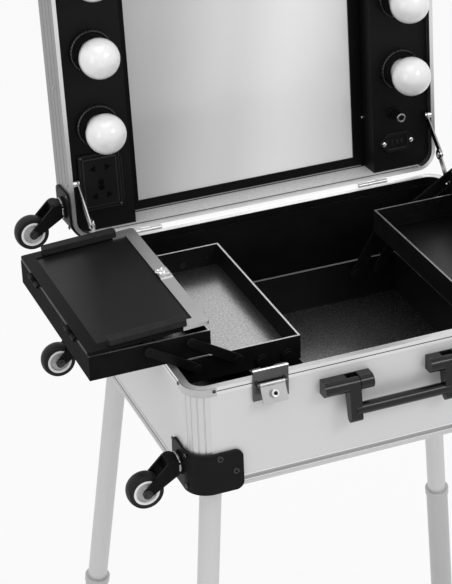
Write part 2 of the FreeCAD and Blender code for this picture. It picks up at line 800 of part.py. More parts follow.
def build_lid():
    """Lid shell with its back panel, and the mirror in its frame."""
    shell = lid_ring("0", "lid_wall", "lid_rim_gap", "lid_depth")
    grooves = []
    for step in range(1, LID_GROOVES + 1):
        depth = f"lid_rim_gap + lid_depth * {step} / {LID_GROOVES + 1}"
        grooves.append(lid_ring("rim_groove", "rim_groove / 2", depth, "rim_groove"))
    node("lid_frame", cut(shell, *grooves), LID)
    node("lid_back_panel", lid_rounded(*LID_INNER, "lid_panel_thick", "0", LID_BACK, LID_MIDDLE), LID)

    frame_half = f"({MIRROR_HALF} + mirror_frame_width)"
    frame_thick = f"{LID_BACK} - mirror_depth"
    mirror_z = f"{LID_LOW} + mirror_frame_width"
    mirror_width = f"2 * {MIRROR_HALF}"
    mirror_height = f"{LID_INNER_HEIGHT} - 2 * mirror_frame_width"
    frame_span = (f"2 * {frame_half}", frame_thick, LID_INNER_HEIGHT)
    frame = block((f"-{frame_half}", "mirror_depth", LID_LOW), frame_span)
    glass_span = (mirror_width, frame_thick, mirror_height)
    window = block((f"-{MIRROR_HALF}", "mirror_depth", mirror_z), glass_span)
    node("mirror_frame", cut(frame, window), LID)
    node("mirror", block((f"-{MIRROR_HALF}", "mirror_depth + mirror_setback", mirror_z),
                         (mirror_width, "mirror_thick", mirror_height)), LID)


HOLDER_TIERS = 3


def lamp_holder(x, z):
    """Ridged ring round the foot of a lamp."""
    tiers = []
    front = "lamp_panel_depth - holder_height"
    tier_height = f"holder_height / {HOLDER_TIERS}"
    for tier in range(HOLDER_TIERS):
        radius = f"holder_radius - {HOLDER_TIERS - 1 - tier} * holder_step"
        start = (x, f"{front} + {tier} * {tier_height}", z)
        tiers.append(taper(start, f"{radius} - holder_step / 2", radius, tier_height, "y"))
    return cut(fuse(*tiers), rod((x, front, z), "holder_bore", "holder_height", "y"))


def build_lamps():
    """Raised panel on each side of the mirror with its lamps in ridged holders."""
    panels = []
    holders = []
    bulbs = []
    wall = "lamp_panel_wall"
    depth = f"{LID_BACK} - lamp_panel_depth"
    for side in SIDES.values():
        low_x = LAMP_INNER if side > 0 else f"-{LAMP_INNER} - lamp_panel_width"
        box = block((low_x, "lamp_panel_depth", LID_LOW), ("lamp_panel_width", depth, LID_INNER_HEIGHT))
        outline = lid_rounded(*LID_INNER, depth, "0", "lamp_panel_depth", LID_MIDDLE)
        inside = block((f"{low_x} + {wall}", f"lamp_panel_depth + {wall}", f"{LID_LOW} + {wall}"),
                       (f"lamp_panel_width - 2 * {wall}", depth, f"{LID_INNER_HEIGHT} - 2 * {wall}"))
        panels.append(cut(common(box, outline), inside))
        x = f"{side} * {LAMP_REACH}"
        for row in range(LAMP_ROWS):
            z = f"lamp_first + {LAMP_RUN} * {row} / {LAMP_ROWS - 1}"
            holders.append(lamp_holder(x, z))
            centre = (x, "lamp_panel_depth - bulb_stand", z)
            neck = rod(centre, "bulb_neck_radius", "bulb_stand", "y")
            bulbs.append(fuse(ball(centre, "bulb_radius"), neck))
    node("lamp_panels", group(*panels), LID)
    node("lamp_holders", group(*holders), LID)
    node("lamp_bulbs", group(*bulbs), LID)


def mains_outlet():
    """Bezel with a sunk face, two slots and an earth hole."""
    x = f"-{LAMP_REACH}"
    front = "lamp_panel_depth - socket_thick"
    seat = (x, front, "socket_rise")
    bezel = lid_rounded("socket_width", "socket_height", "socket_round", "socket_thick", *seat)
    face = ("socket_width - 2 * socket_border", "socket_height - 2 * socket_border", "socket_round / 2")
    sunk = lid_rounded(*face, "socket_recess", *seat)
    earth = (x, front, "socket_rise - socket_earth_drop")
    holes = [rod(earth, "socket_earth_radius", "socket_hole_depth", "y")]
    for side in SIDES.values():
        low = (f"{x} + {side} * socket_slot_pitch / 2 - socket_slot_width / 2", front,
               "socket_rise + socket_slot_rise - socket_slot_length / 2")
        holes.append(block(low, ("socket_slot_width", "socket_hole_depth", "socket_slot_length")))
    return cut(bezel, sunk, *holes)


def power_inlet():
    """Flange with two pointed ears round a mouth with three blades."""
    x = f"({LAMP_REACH} - inlet_shift)"
    front = "lamp_panel_depth - inlet_thick"
    seat = (x, front, "inlet_rise")
    plate = lid_rounded("inlet_pitch + inlet_ear", "inlet_height", "inlet_round", "inlet_thick", *seat)
    flange = common(plate, diamond(seat, "inlet_point", "inlet_thick", "y"))
    opening = ("inlet_mouth_width", "inlet_mouth_height", "inlet_mouth_round")
    mouth = lid_rounded(*opening, "inlet_recess", *seat)
    blades = []
    for step in (-1, 0, 1):
        low = (f"{x} + {step} * inlet_blade_pitch - inlet_blade_width / 2", front,
               "inlet_rise - inlet_blade_height / 2")
        blades.append(block(low, ("inlet_blade_width", "inlet_recess", "inlet_blade_height")))
    return fuse(cut(flange, mouth), *blades)


def build_power():
    """Mains outlet on the left lamp panel, power inlet and dimmer on the right one."""
    node("power_sockets", group(mains_outlet(), power_inlet()), LID)
    x = f"{LAMP_REACH} - dimmer_shift"
    front = "lamp_panel_depth - dimmer_length"
    knob = taper((x, front, "dimmer_rise"), "dimmer_tip_radius", "dimmer_radius", "dimmer_length", "y")
    foot = (x, "lamp_panel_depth - dimmer_collar", "dimmer_rise")
    collar = rod(foot, "dimmer_collar_radius", "dimmer_collar", "y")
    node("dimmer_knob", fuse(knob, collar), LID)


def build_hinges():
    """Two rear hinges: a knuckle on the case between two on the lid, and one pin each."""
    case_leaves = []
    lid_leaves = []
    pins = []
    span = "knuckle_length - 2 * knuckle_gap"
    for side in SIDES.values():
        first = f"{side} * {HINGE_REACH} - {KNUCKLES} / 2 * knuckle_length"
        for index in range(KNUCKLES):
            x = f"{first} + {index} * knuckle_length + knuckle_gap"
            hole = rod((x, "0", "0"), "hinge_pin_radius + pin_clearance", span, "x")
            barrel = rod((x, "0", "0"), "knuckle_radius", span, "x")
            if index == 1:
                leaf = block((x, "-hinge_back", "-leaf_length"), (span, "leaf_thick", "leaf_length"))
                web = block((x, "-hinge_back", "-knuckle_radius"), (span, "hinge_back", "leaf_thick"))
                case_leaves.append(cut(fuse(barrel, leaf, web), hole))
            else:
                leaf = block((x, "0", "knuckle_radius - leaf_thick"), (span, "leaf_length", "leaf_thick"))
                lid_leaves.append(cut(fuse(barrel, leaf), hole))
        pins.append(rod((first, "0", "0"), "hinge_pin_radius", f"{KNUCKLES} * knuckle_length", "x"))
    node("case_hinge_leaves", group(*case_leaves, *pins), Placement(HINGE, Rotation()))
    node("lid_hinge_leaves", group(*lid_leaves), LID)


def stay_points():
    """Lid pivot, knee and case pivot of the folding stay, in the plane of the case's side."""
    lid_pivot = LID.multVec(Vector(0, size("stay_lid_depth"), size("stay_lid_pivot")))
    case_pivot = Vector(0, HINGE.y - size("stay_base_back"), HINGE.z + size("stay_base_rise"))
    reach = lid_pivot - case_pivot
    span = math.hypot(reach.y, reach.z)
    upper = size("stay_upper_length")
    lower = size("stay_lower_length")
    bend = math.acos((span ** 2 + lower ** 2 - upper ** 2) / (2 * span * lower))
    aim = math.atan2(reach.z, reach.y) + bend
    knee = case_pivot + Vector(0, math.cos(aim), math.sin(aim)) * lower
    return lid_pivot, knee, case_pivot


def stay_arm(length, start, end, x):
    """One flat arm of a stay in the plane of the case's side."""
    arm = strap(length, "stay_width", "stay_thick", "stay_pin_radius + pin_clearance")
    run = end - start
    aim = Rotation(Vector(1, 0, 0), math.degrees(math.atan2(run.z, run.y)))
    upright = Rotation(Vector(0, 0, 1), 90).multiply(Rotation(Vector(1, 0, 0), 90))
    return placed(arm, Placement(start + Vector(x, 0, 0), aim.multiply(upright)))


def build_stays():
    """Folding stay on each side: one arm on the lid, one on the case, and the studs that hold them."""
    lid_pivot, knee, case_pivot = stay_points()
    thick = size("stay_thick")
    rim_face = size("case_width") / 2 - size("rim_inset")
    plate_face = rim_face - size("stay_plate_thick")
    outer_face = rim_face - size("stay_side_gap")
    inner_face = outer_face - thick - size("stay_arm_gap")
    lid_wall = size("case_width") / 2 - size("lid_wall")
    upper_arms = []
    lower_arms = []
    lid_studs = []
    case_studs = []
    for side in SIDES.values():
        upper_x = outer_face - thick if side > 0 else -outer_face
        lower_x = inner_face - thick if side > 0 else -inner_face
        upper_arms.append(stay_arm("stay_upper_length", lid_pivot, knee, upper_x))
        lower_arms.append(stay_arm("stay_lower_length", case_pivot, knee, lower_x))
        lid_studs.append(stud(side, lid_wall, outer_face - thick, outer_face, lid_pivot))
        plate_x = plate_face if side > 0 else -rim_face
        plate_low = f"{HINGE.z} - stay_plate_foot"
        plate_height = "stay_plate_foot + stay_base_rise + stay_width / 2"
        plate = block((plate_x, f"{case_pivot.y} - stay_plate_width / 2", plate_low),
                      ("stay_plate_thick", "stay_plate_width", plate_height))
        case_studs.append(fuse(plate, stud(side, plate_face, inner_face - thick, inner_face, case_pivot)))
    node("stay_upper_arms", group(*upper_arms))
    node("stay_lower_arms", group(*lower_arms))
    node("lid_stay_studs", group(*lid_studs))
    node("case_stay_studs", group(*case_studs))


def stud(side, wall, low, high, point):
    """Shouldered pin from a side wall through an arm that lies between low and high."""
    gap = size("head_gap")
    head = size("pin_head_thick")
    shank = rod((min(side * wall, side * low), point.y, point.z), "stay_pin_radius", wall - low, "x")
    shoulder_x = min(side * wall, side * (high + gap))
    shoulder = rod((shoulder_x, point.y, point.z), "pin_head_radius", wall - high - gap, "x")
    cap_x = min(side * (low - gap), side * (low - gap - head))
    cap = rod((cap_x, point.y, point.z), "pin_head_radius", head, "x")
    link = rod((min(side * low, side * (low - gap)), point.y, point.z), "stay_pin_radius", gap, "x")
    return fuse(shank, shoulder, cap, link)


def build_corner_clips():
    """Bright clips that wrap the corners of the rim."""
    low_z = "case_height - rim_height"
    blocks = []
    for sx in SIDES.values():
        for sy in SIDES.values():
            x = "case_width / 2 - clip_reach" if sx > 0 else "-case_width / 2 - clip_thick"
            y = "case_depth / 2 - clip_reach" if sy > 0 else "-case_depth / 2 - clip_thick"
            reach = "clip_reach + clip_thick"
            blocks.append(block((x, y, low_z), (reach, reach, "rim_height")))
    skin = case_ring("clip_thick", "0", low_z, "rim_height")
    node("rim_corner_clips", common(skin, fuse(*blocks)))


def left_corner_plates(low_z, bore_z):
    """Angle plates round the two left corners, with rounded free ends and a bore for the caster's stem."""
    wings = []
    bores = []
    reach = "(bracket_reach + bracket_thick + bracket_round)"
    wrap = "(bracket_thick + post_radius)"
    middle_z = f"{low_z} + bracket_height / 2"
    side_x = "-case_width / 2 - bracket_thick"
    for way in SIDES.values():
        wing_x = f"bracket_reach - case_width / 2 - {reach} / 2"
        wing_y = "-case_depth / 2 - bracket_thick" if way < 0 else "case_depth / 2 - post_radius"
        wings.append(rounded(reach, "bracket_height", "bracket_round", wrap, (wing_x, wing_y, middle_z), "y"))
        side_y = f"{way} * (case_depth / 2 - bracket_reach + {reach} / 2)"
        wings.append(rounded("bracket_height", reach, "bracket_round", wrap, (side_x, side_y, middle_z), "x"))
        bore_y = f"{way} * (case_depth / 2 - caster_inset)"
        bores.append(rod((side_x, bore_y, bore_z), "stem_radius + pin_clearance", "bracket_thick", "x"))
    skin = case_ring("bracket_thick", "0", low_z, "bracket_height")
    return cut(common(skin, fuse(*wings)), *bores)


def build_caster_brackets():
    """Angle plates on the left end of the case and of the lid."""
    node("caster_brackets", left_corner_plates("-bracket_drop", "caster_height"))
    stand_up = Placement(Vector(0, 0, number(LID_MIDDLE)), Rotation(Vector(1, 0, 0), -90))
    lid_plates = left_corner_plates("lid_bracket_depth", "lid_caster_depth")
    node("lid_caster_brackets", lid_plates, LID.multiply(stand_up))


def caster_places():
    """Where each caster's swivel plate sits on its bracket."""
    x = -size("case_width") / 2 - size("bracket_thick")
    reach = size("case_depth") / 2 - size("caster_inset")
    spots = {}
    for name, way in (("front", -1), ("rear", 1)):
        spots[f"{name}_case_caster"] = Vector(x, way * reach, size("caster_height"))
    for name, way in (("lower", -1), ("upper", 1)):
        height = number(LID_MIDDLE) + way * reach
        spots[f"{name}_lid_caster"] = LID.multVec(Vector(x, size("lid_caster_depth"), height))
    return spots


def build_casters():
    """Swivel forks with a wheel each; the forks trail downward."""
    half = "wheel_width / 2 + fork_gap"
    outside = f"({half} + fork_wall)"
    root_x = size("swivel_thick") + size("crown_length") / 2
    run = size("wheel_out") - root_x
    drop = size("wheel_trail")
    cheek_turn = math.degrees(math.atan2(-drop, -run))
    tilt = Rotation(Vector(0, 1, 0), -cheek_turn).multiply(Rotation(Vector(1, 0, 0), 90))
    for name, spot in caster_places().items():
        at = Placement(spot, Rotation())
        plate = rod(("-swivel_plate", "0", "0"), "swivel_radius", "swivel_plate", "x")
        race = rod(("-swivel_thick", "0", "0"), "race_radius", "swivel_thick", "x")
        stem = rod(("0", "0", "0"), "stem_radius", "bracket_thick", "x")
        crown = rounded("crown_height", f"2 * {outside}", "crown_round", "crown_length",
                        ("-swivel_thick - crown_length", "0", "0"), "x")
        cheeks = []
        for y in (f"-({half})", outside):
            cheek = strap(math.hypot(run, drop), "crown_height", "fork_wall", "axle_radius", "cheek_tip")
            cheek.Placement = Placement(Vector(), tilt)
            cheeks.append(place(cheek, (-root_x, y, "0")))
        axle = rod(("-wheel_out", f"-{outside}", "-wheel_trail"), "axle_radius", f"2 * {outside}", "y")
        node(f"{name}_fork", fuse(plate, race, stem, crown, axle, *cheeks), at)
        node(f"{name}_wheel", group(*wheel_pieces()), at)


def wheel_pieces():
    """Hub with a dish in each face, and a crowned tyre round it."""
    start = ("-wheel_out", "-wheel_width / 2", "-wheel_trail")
    inner = "wheel_radius - tyre_thick"
    dishes = []
    for y in ("-wheel_width / 2", "wheel_width / 2 - hub_recess"):
        spot = ("-wheel_out", y, "-wheel_trail")
        boss = rod(spot, "hub_boss", "hub_recess", "y")
        dishes.append(cut(rod(spot, f"{inner} - hub_lip", "hub_recess", "y"), boss))
    bore = rod(start, "axle_radius + pin_clearance", "wheel_width", "y")
    hub = cut(rod(start, inner, "wheel_width", "y"), bore, *dishes)
    crown = ball(("-wheel_out", "0", "-wheel_trail"), "wheel_radius")
    tyre = common(rod(start, "wheel_radius", "wheel_width", "y"), crown)
    return hub, cut(tyre, rod(start, inner, "wheel_width", "y"))


def build_latches():
    """Plates on the rim with a rolled lip, and a hinged flap with its lock on each."""
    plates = []
    face_y = "-case_depth / 2 - latch_plate_thick"
    hinge_y = f"{face_y} - flap_hinge_out"
    hinge_z = "case_height - flap_hinge_drop"
    for name, side in SIDES.items():
        x = f"{side} * {LATCH_REACH}"
        low_x = f"{x} - latch_width / 2"
        plate = block((low_x, face_y, "case_height - latch_drop"),
                      ("latch_width", "latch_plate_thick", "latch_drop + latch_top"))
        lip_start = (low_x, f"{face_y} + latch_lip", "case_height + latch_top")
        lip = rod(lip_start, "latch_lip", "latch_width", "x")
        ears = []
        for way in SIDES.values():
            ear_x = f"{x} + {way} * (flap_width / 2 + knuckle_gap)"
            ear_low = ear_x if way > 0 else f"{ear_x} - ear_thick"
            ears.append(block((ear_low, hinge_y, f"{hinge_z} - flap_barrel"),
                              ("ear_thick", "flap_hinge_out", "2 * flap_barrel")))
            ears.append(rod((ear_low, hinge_y, hinge_z), "flap_barrel", "ear_thick", "x"))
        pin = rod((f"{x} - flap_width / 2 - ear_thick", hinge_y, hinge_z), "hinge_pin_radius",
                  "flap_width + 2 * ear_thick", "x")
        plates.append(fuse(plate, lip, pin, *ears))

        barrel = rod(("-flap_width / 2", "0", "0"), "flap_barrel", "flap_width", "x")
        leaf = rounded("flap_width", "flap_length", "flap_round", "flap_thick",
                       ("0", "-flap_thick / 2", "-flap_length / 2"), "y")
        bore = rod(("-flap_width / 2", "0", "0"), "hinge_pin_radius + pin_clearance", "flap_width", "x")
        lock = rod(("0", "-flap_thick / 2 - lock_length", "-lock_drop"), "lock_radius", "lock_length", "y")
        spot = Vector(number(x), number(hinge_y), number(hinge_z))
        ajar = Rotation(Vector(1, 0, 0), -size("flap_ajar_angle"))
        node(f"{name}_latch_flap", group(cut(fuse(barrel, leaf), bore), lock), Placement(spot, ajar))
    node("latch_plates", group(*plates))


def handle_mount(side, pivot_y):
    """Round-fronted block on the front wall, slotted for the handle's arm, with the pin across the slot."""
    low_x = f"{side} * (handle_reach + mount_shift) - mount_width / 2"
    low_z = f"{HANDLE_Z} - mount_radius"
    nose = rod((low_x, pivot_y, HANDLE_Z), "mount_radius", "mount_width", "x")
    foot = block((low_x, pivot_y, low_z), ("mount_width", "handle_pivot_out", "2 * mount_radius"))
    slot_run = "(arm_thick + 2 * head_gap)"
    slot_x = f"{side} * handle_reach - {slot_run} / 2"
    slot_depth = "mount_radius + arm_width / 2 + arm_gap"
    slot = block((slot_x, f"{pivot_y} - mount_radius", low_z), (slot_run, slot_depth, "2 * mount_radius"))
    pin_start = (f"{slot_x} - mount_seat", pivot_y, HANDLE_Z)
    pin = rod(pin_start, "axle_radius", f"{slot_run} + 2 * mount_seat", "x")
    return fuse(cut(fuse(nose, foot), slot), pin)


def build_handle():
    """Carrying handle that hangs from two mounts on the front wall."""
    pivot_y = "panel_setback - case_depth / 2 - handle_pivot_out"
    bar_y = f"{pivot_y} - handle_bar_out"
    bar_z = f"{HANDLE_Z} - handle_bar_drop"
    hang = Vector(0, -size("handle_bar_out"), -size("handle_bar_drop"))
    aim = Rotation(Vector(1, 0, 0), math.degrees(math.atan2(hang.z, hang.y)))
    upright = Rotation(Vector(0, 0, 1), 90).multiply(Rotation(Vector(1, 0, 0), 90))
    arms = []
    for side in SIDES.values():
        arm = strap(f"{hang.Length} + arm_tail", "arm_width", "arm_thick", "axle_radius + pin_clearance",
                    "arm_tip", bored=(0,))
        arm_x = side * size("handle_reach") - size("arm_thick") / 2
        start = Vector(arm_x, number(pivot_y), number(HANDLE_Z))
        arms.append(placed(arm, Placement(start, aim.multiply(upright))))
    bar = rod(("-handle_reach", bar_y, bar_z), "grip_radius", "2 * handle_reach", "x")
    node("handle_mounts", group(*[handle_mount(side, pivot_y) for side in SIDES.values()]))
    node("handle_grip", fuse(bar, *arms))


LEG_SLOPE = Vector(size("leg_splay"), size("leg_splay"), -1)
LEG_LENGTH = f"leg_height * {LEG_SLOPE.Length}"


def leg_places():
    """Frame of each leg: zero on the case's underside, with the leg along minus Z."""
    places = {}
    for depth_name, sy in (("front", -1), ("rear", 1)):
        for side_name, sx in SIDES.items():
            slope = Vector(sx * LEG_SLOPE.x, sy * LEG_SLOPE.y, LEG_SLOPE.z)
            x = size("case_width") / 2 - size("leg_inset_x")
            y = size("case_depth") / 2 - size("leg_inset_y")
            spot = Vector(sx * x, sy * y, 0)
            places[f"{depth_name}_{side_name}"] = Placement(spot, Rotation(Vector(0, 0, -1), slope))
    return places


def build_legs():
    """Splayed telescopic legs: socket, upper tube, sliding sleeve and rubber foot."""
    sockets = []
    tubes = []
    for name, at in leg_places().items():
        x = at.Base.x
        y = at.Base.y
        plate = block((f"{x} - leg_socket_plate / 2", f"{y} - leg_socket_plate / 2", "-leg_plate_thick"),
                      ("leg_socket_plate", "leg_socket_plate", "leg_plate_thick"))
        cup = placed(rod(("0", "0", "-leg_socket_length"), "leg_socket_radius", "leg_socket_length"), at)
        bore = placed(rod(("0", "0", "-2 * leg_socket_length"), "leg_tube_radius + pin_clearance",
                          "2 * leg_socket_length - leg_tube_start"), at)
        above = block((f"{x} - leg_socket_plate", f"{y} - leg_socket_plate", "0"),
                      ("2 * leg_socket_plate", "2 * leg_socket_plate", "leg_socket_length"))
        sockets.append(cut(fuse(plate, cup), bore, above))

        tube_low = ("0", "0", "-leg_tube_length")
        tube_run = "leg_tube_length - leg_tube_start"
        tubes.append(placed(cut(rod(tube_low, "leg_tube_radius", tube_run),
                                rod(tube_low, "leg_tube_radius - leg_tube_wall", tube_run)), at))

        sleeve_low = ("0", "0", f"leg_foot_floor - ({LEG_LENGTH})")
        sleeve_run = f"{LEG_LENGTH} - leg_foot_floor - leg_sleeve_top"
        collar_low = ("0", "0", "-leg_sleeve_top - leg_collar")
        collar = rod(collar_low, "leg_sleeve_radius + leg_collar_lip", "leg_collar")
        sleeve = placed(cut(fuse(rod(sleeve_low, "leg_sleeve_radius", sleeve_run), collar),
                            rod(sleeve_low, "leg_tube_radius + slide_clearance", sleeve_run)), at)
        foot_low = ("0", "0", f"-({LEG_LENGTH}) - leg_foot_floor")
        foot = placed(cut(taper(foot_low, "foot_radius", "leg_sleeve_radius + leg_tube_wall", "foot_height"),
                          rod(sleeve_low, "leg_sleeve_radius", sleeve_run)), at)
        floor = block((f"{x} - leg_height", f"{y} - leg_height", "-2 * leg_height"),
                      ("2 * leg_height", "2 * leg_height", "leg_height"))
        node(f"{name}_leg_sleeve", group(sleeve, cut(foot, floor)))
    node("leg_sockets", group(*sockets))
    node("leg_tubes", group(*tubes))


def finish():
    """Check every piece, stand the model on the floor and write one file per node."""
    doc.recompute()
    for part in doc.Objects:
        if "Invalid" in part.State or "Error" in part.State:
            raise RuntimeError(f"{part.Label} failed: {part.State}")
    whole = Part.makeCompound([part.Shape for part in NODES]).optimalBoundingBox()
    shift = Vector(-whole.Center.x, -whole.Center.y, size("leg_height"))
    os.makedirs("parts", exist_ok=True)
    for part in NODES:
        part.Placement = Placement(shift, Rotation()).multiply(part.Placement)
    doc.recompute()
    for part in NODES:
        if part.Shape.isNull() or not part.Shape.isValid():
            raise RuntimeError(f"{part.Label} has no valid shape")
        part.Shape.exportStep(os.path.join("parts", part.Label + ".step"))
    return shift


build_shell()
build_carrier()
for side_name, side_sign in SIDES.items():
    build_trays(side_name, side_sign)
build_lid()
build_lamps()
build_power()
build_hinges()
build_stays()
build_corner_clips()
build_caster_brackets()
build_casters()
build_latches()
build_handle()
build_legs()
SHIFT = finish()
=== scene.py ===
import math

import bmesh
import bpy
from mathutils import Matrix, Vector


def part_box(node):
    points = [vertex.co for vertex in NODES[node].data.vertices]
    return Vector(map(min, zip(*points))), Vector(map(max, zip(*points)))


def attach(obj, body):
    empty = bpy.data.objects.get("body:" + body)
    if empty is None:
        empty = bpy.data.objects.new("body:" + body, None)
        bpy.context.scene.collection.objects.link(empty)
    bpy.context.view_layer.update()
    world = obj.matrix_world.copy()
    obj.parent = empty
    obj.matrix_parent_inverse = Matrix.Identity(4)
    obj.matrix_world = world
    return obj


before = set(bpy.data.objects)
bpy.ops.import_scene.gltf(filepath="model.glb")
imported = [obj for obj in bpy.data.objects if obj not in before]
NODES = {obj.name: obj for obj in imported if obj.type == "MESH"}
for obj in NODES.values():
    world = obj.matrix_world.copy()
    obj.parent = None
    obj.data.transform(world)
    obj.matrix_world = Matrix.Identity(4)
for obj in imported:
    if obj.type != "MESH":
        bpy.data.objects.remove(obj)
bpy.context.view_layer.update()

# Camera, solved from the photograph: metres in the shared frame, angles, millimetres for the lens
CAMERA_SPOT = Vector((-0.94045, -2.12891, 2.03290))
CAMERA_AZIMUTH = math.radians(20.50)
CAMERA_DIP = math.radians(28.10)
CAMERA_ROLL = math.radians(-2.30)
CAMERA_LENS = 165.35
SENSOR_WIDTH = 36.0

SIDES = {"left": -1, "right": 1}
CASTERS = ("front_case", "rear_case", "lower_lid", "upper_lid")
CORNERS = ("front_left", "front_right", "rear_left", "rear_right")
MM = 0.001

# Places: the case's own frame, zero at the middle of its underside, and the lid's frame at its hinge

def middle(node):
    low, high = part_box(node)
    return (low + high) / 2


CASE_ZERO = Vector((middle("top_rim").x, middle("top_rim").y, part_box("floor_panel")[0].z))
HINGE_BACK = 210.0
CASE_TOP = 139.0
LID_LEAN = math.radians(4.0)
CASE_FRAME = Matrix.Translation(CASE_ZERO)
LID_FRAME = (CASE_FRAME @ Matrix.Translation(Vector((0.0, HINGE_BACK, CASE_TOP)) * MM)
             @ Matrix.Rotation(-LID_LEAN, 4, "X"))


def aimed(at, x, y, z, normal):
    """Frame whose origin is a point in millimetres of another frame and whose Z axis is normal there."""
    turn = Vector(normal).to_track_quat("Z", "Y").to_matrix().to_4x4()
    return at @ Matrix.Translation(Vector((x, y, z)) * MM) @ turn


# Materials: cosines between which an edge takes its worn tone with a painted highlight, patch and pore
# texture, sockets of a colour mix

EDGE_TURN = (0.75, 0.99)
PATCH_DETAIL = 5.0
LEAST_ROUGH = 0.02
GRAIN_SCALE = 2.0
CELL_BLUR = 0.6
PORE_SCALE = 3.0
PORE_DETAIL = 2.0
PORE_DEPTH = 0.2
MIX_COLOURS = (6, 7)
MIX_RESULT = 2


def add_node(tree, kind, **values):
    """A shader node; keyword names are its properties or, with _ for a space, its sockets."""
    made = tree.nodes.new(kind)
    for key, value in values.items():
        if hasattr(made, key):
            setattr(made, key, value)
        else:
            made.inputs[key.replace("_", " ")].default_value = value
    return made


def rgb(level):
    """A grey as a colour."""
    return (level, level, level, 1.0)


def object_space(tree, stretch=(1.0, 1.0, 1.0)):
    spot = add_node(tree, "ShaderNodeTexCoord")
    turn = add_node(tree, "ShaderNodeMapping", Scale=stretch)
    tree.links.new(spot.outputs["Object"], turn.inputs["Vector"])
    return turn.outputs["Vector"]


def noise(tree, vector, scale, detail=3.0):
    made = add_node(tree, "ShaderNodeTexNoise", Scale=scale, Detail=detail)
    tree.links.new(vector, made.inputs["Vector"])
    return made.outputs["Fac"]


def spread(tree, value, low, high, start=0.3, end=0.7):
    """Stretch a value between start and end over the range from low to high."""
    made = add_node(tree, "ShaderNodeMapRange", From_Min=start, From_Max=end, To_Min=low, To_Max=high)
    tree.links.new(value, made.inputs["Value"])
    return made.outputs["Result"]


def mixed(tree, factor, first, second):
    """Colour between first and second by factor; first and second are colours or outputs."""
    made = add_node(tree, "ShaderNodeMix", data_type="RGBA")
    tree.links.new(factor, made.inputs[0])
    for index, source in zip(MIX_COLOURS, (first, second)):
        if isinstance(source, tuple):
            made.inputs[index].default_value = source
        else:
            tree.links.new(source, made.inputs[index])
    return made.outputs[MIX_RESULT]


def math_node(tree, operation, first, second):
    made = add_node(tree, "ShaderNodeMath", operation=operation)
    for index, source in enumerate((first, second)):
        if isinstance(source, float):
            made.inputs[index].default_value = source
        else:
            tree.links.new(source, made.inputs[index])
    return made.outputs[0]


def bump(tree, height, shader, depth, below=None):
    made = add_node(tree, "ShaderNodeBump", Strength=1.0, Distance=depth)
    tree.links.new(height, made.inputs["Height"])
    if below is not None:
        tree.links.new(below, made.inputs["Normal"])
    tree.links.new(made.outputs["Normal"], shader.inputs["Normal"])
    return made.outputs["Normal"]


def worn_and_highlit_edges(tree, shader, radius, tone):
    """Round the edges' shading and turn their colour towards tone: edge wear, with a painted highlight
    where the tone is lighter.
    """
    soft = add_node(tree, "ShaderNodeBevel", Radius=radius)
    flat = add_node(tree, "ShaderNodeNewGeometry")
    across = add_node(tree, "ShaderNodeVectorMath", operation="DOT_PRODUCT")
    tree.links.new(soft.outputs["Normal"], across.inputs[0])
    tree.links.new(flat.outputs["Normal"], across.inputs[1])
    edge = spread(tree, across.outputs["Value"], 1.0, 0.0, *EDGE_TURN)
    colour = shader.inputs["Base Color"]
    tree.links.new(mixed(tree, edge, colour.links[0].from_socket, rgb(tone)), colour)
    tree.links.new(soft.outputs["Normal"], shader.inputs["Normal"])
    return soft.outputs["Normal"]


def surface(name, level, rough, metal=0.0, mottle=0.06, patch=25.0, rough_swing=0.06, grain=900.0,
            grain_depth=0.0, stretch=(1.0, 1.0, 1.0), edge=None, **sockets):
    """A finish whose tone, roughness and fine relief vary over the surface; edge is a radius and a tone for
    worn edges with a painted highlight.
    """
    made = bpy.data.materials.new(name)
    made.use_nodes = True
    tree = made.node_tree
    shader = tree.nodes["Principled BSDF"]
    shader.inputs["Metallic"].default_value = metal
    for key, value in sockets.items():
        shader.inputs[key.replace("_", " ")].default_value = value
    space = object_space(tree, stretch)
    patches = spread(tree, noise(tree, space, patch, PATCH_DETAIL), 0.0, 1.0)
    tones = mixed(tree, patches, rgb(level * (1 - mottle)), rgb(level * (1 + mottle)))
    tree.links.new(tones, shader.inputs["Base Color"])
    fine = noise(tree, space, grain)
    rough_map = spread(tree, fine, max(rough - rough_swing, LEAST_ROUGH), rough + rough_swing)
    tree.links.new(rough_map, shader.inputs["Roughness"])
    below = worn_and_highlit_edges(tree, shader, *edge) if edge else None
    if grain_depth:
        bump(tree, fine, shader, grain_depth, below)
    return made


def pebbled(name, level, rough, cell, depth, mottle=0.2, patch=40.0, edge=None, **sockets):
    """Pebbled sheet: rounded cells with fine pores between them."""
    made = surface(name, level, rough, mottle=mottle, patch=patch, grain=cell * GRAIN_SCALE, edge=edge,
                   **sockets)
    tree = made.node_tree
    shader = tree.nodes["Principled BSDF"]
    below = shader.inputs["Normal"].links[0].from_socket if edge else None
    space = object_space(tree)
    cells = add_node(tree, "ShaderNodeTexVoronoi", feature="SMOOTH_F1", Scale=cell, Smoothness=CELL_BLUR)
    tree.links.new(space, cells.inputs["Vector"])
    fine = noise(tree, space, cell * PORE_SCALE, PORE_DETAIL)
    pores = bump(tree, fine, shader, depth * PORE_DEPTH, below)
    bump(tree, spread(tree, cells.outputs["Distance"], 1.0, 0.0, 0.0, 1.0), shader, depth, pores)
    return made


def parted(made, mask, level, rough):
    """Give a metal finish a second, plain black part where mask(tree) is 0."""
    tree = made.node_tree
    shader = tree.nodes["Principled BSDF"]
    share = mask(tree)
    colour = shader.inputs["Base Color"]
    tree.links.new(mixed(tree, share, rgb(level), colour.links[0].from_socket), colour)
    tree.links.new(share, shader.inputs["Metallic"])
    roughness = shader.inputs["Roughness"]
    metal_rough = roughness.links[0].from_socket
    from_black = math_node(tree, "MULTIPLY", math_node(tree, "SUBTRACT", 1.0, share), rough)
    from_metal = math_node(tree, "MULTIPLY", share, metal_rough)
    tree.links.new(math_node(tree, "ADD", from_metal, from_black), roughness)
    return made


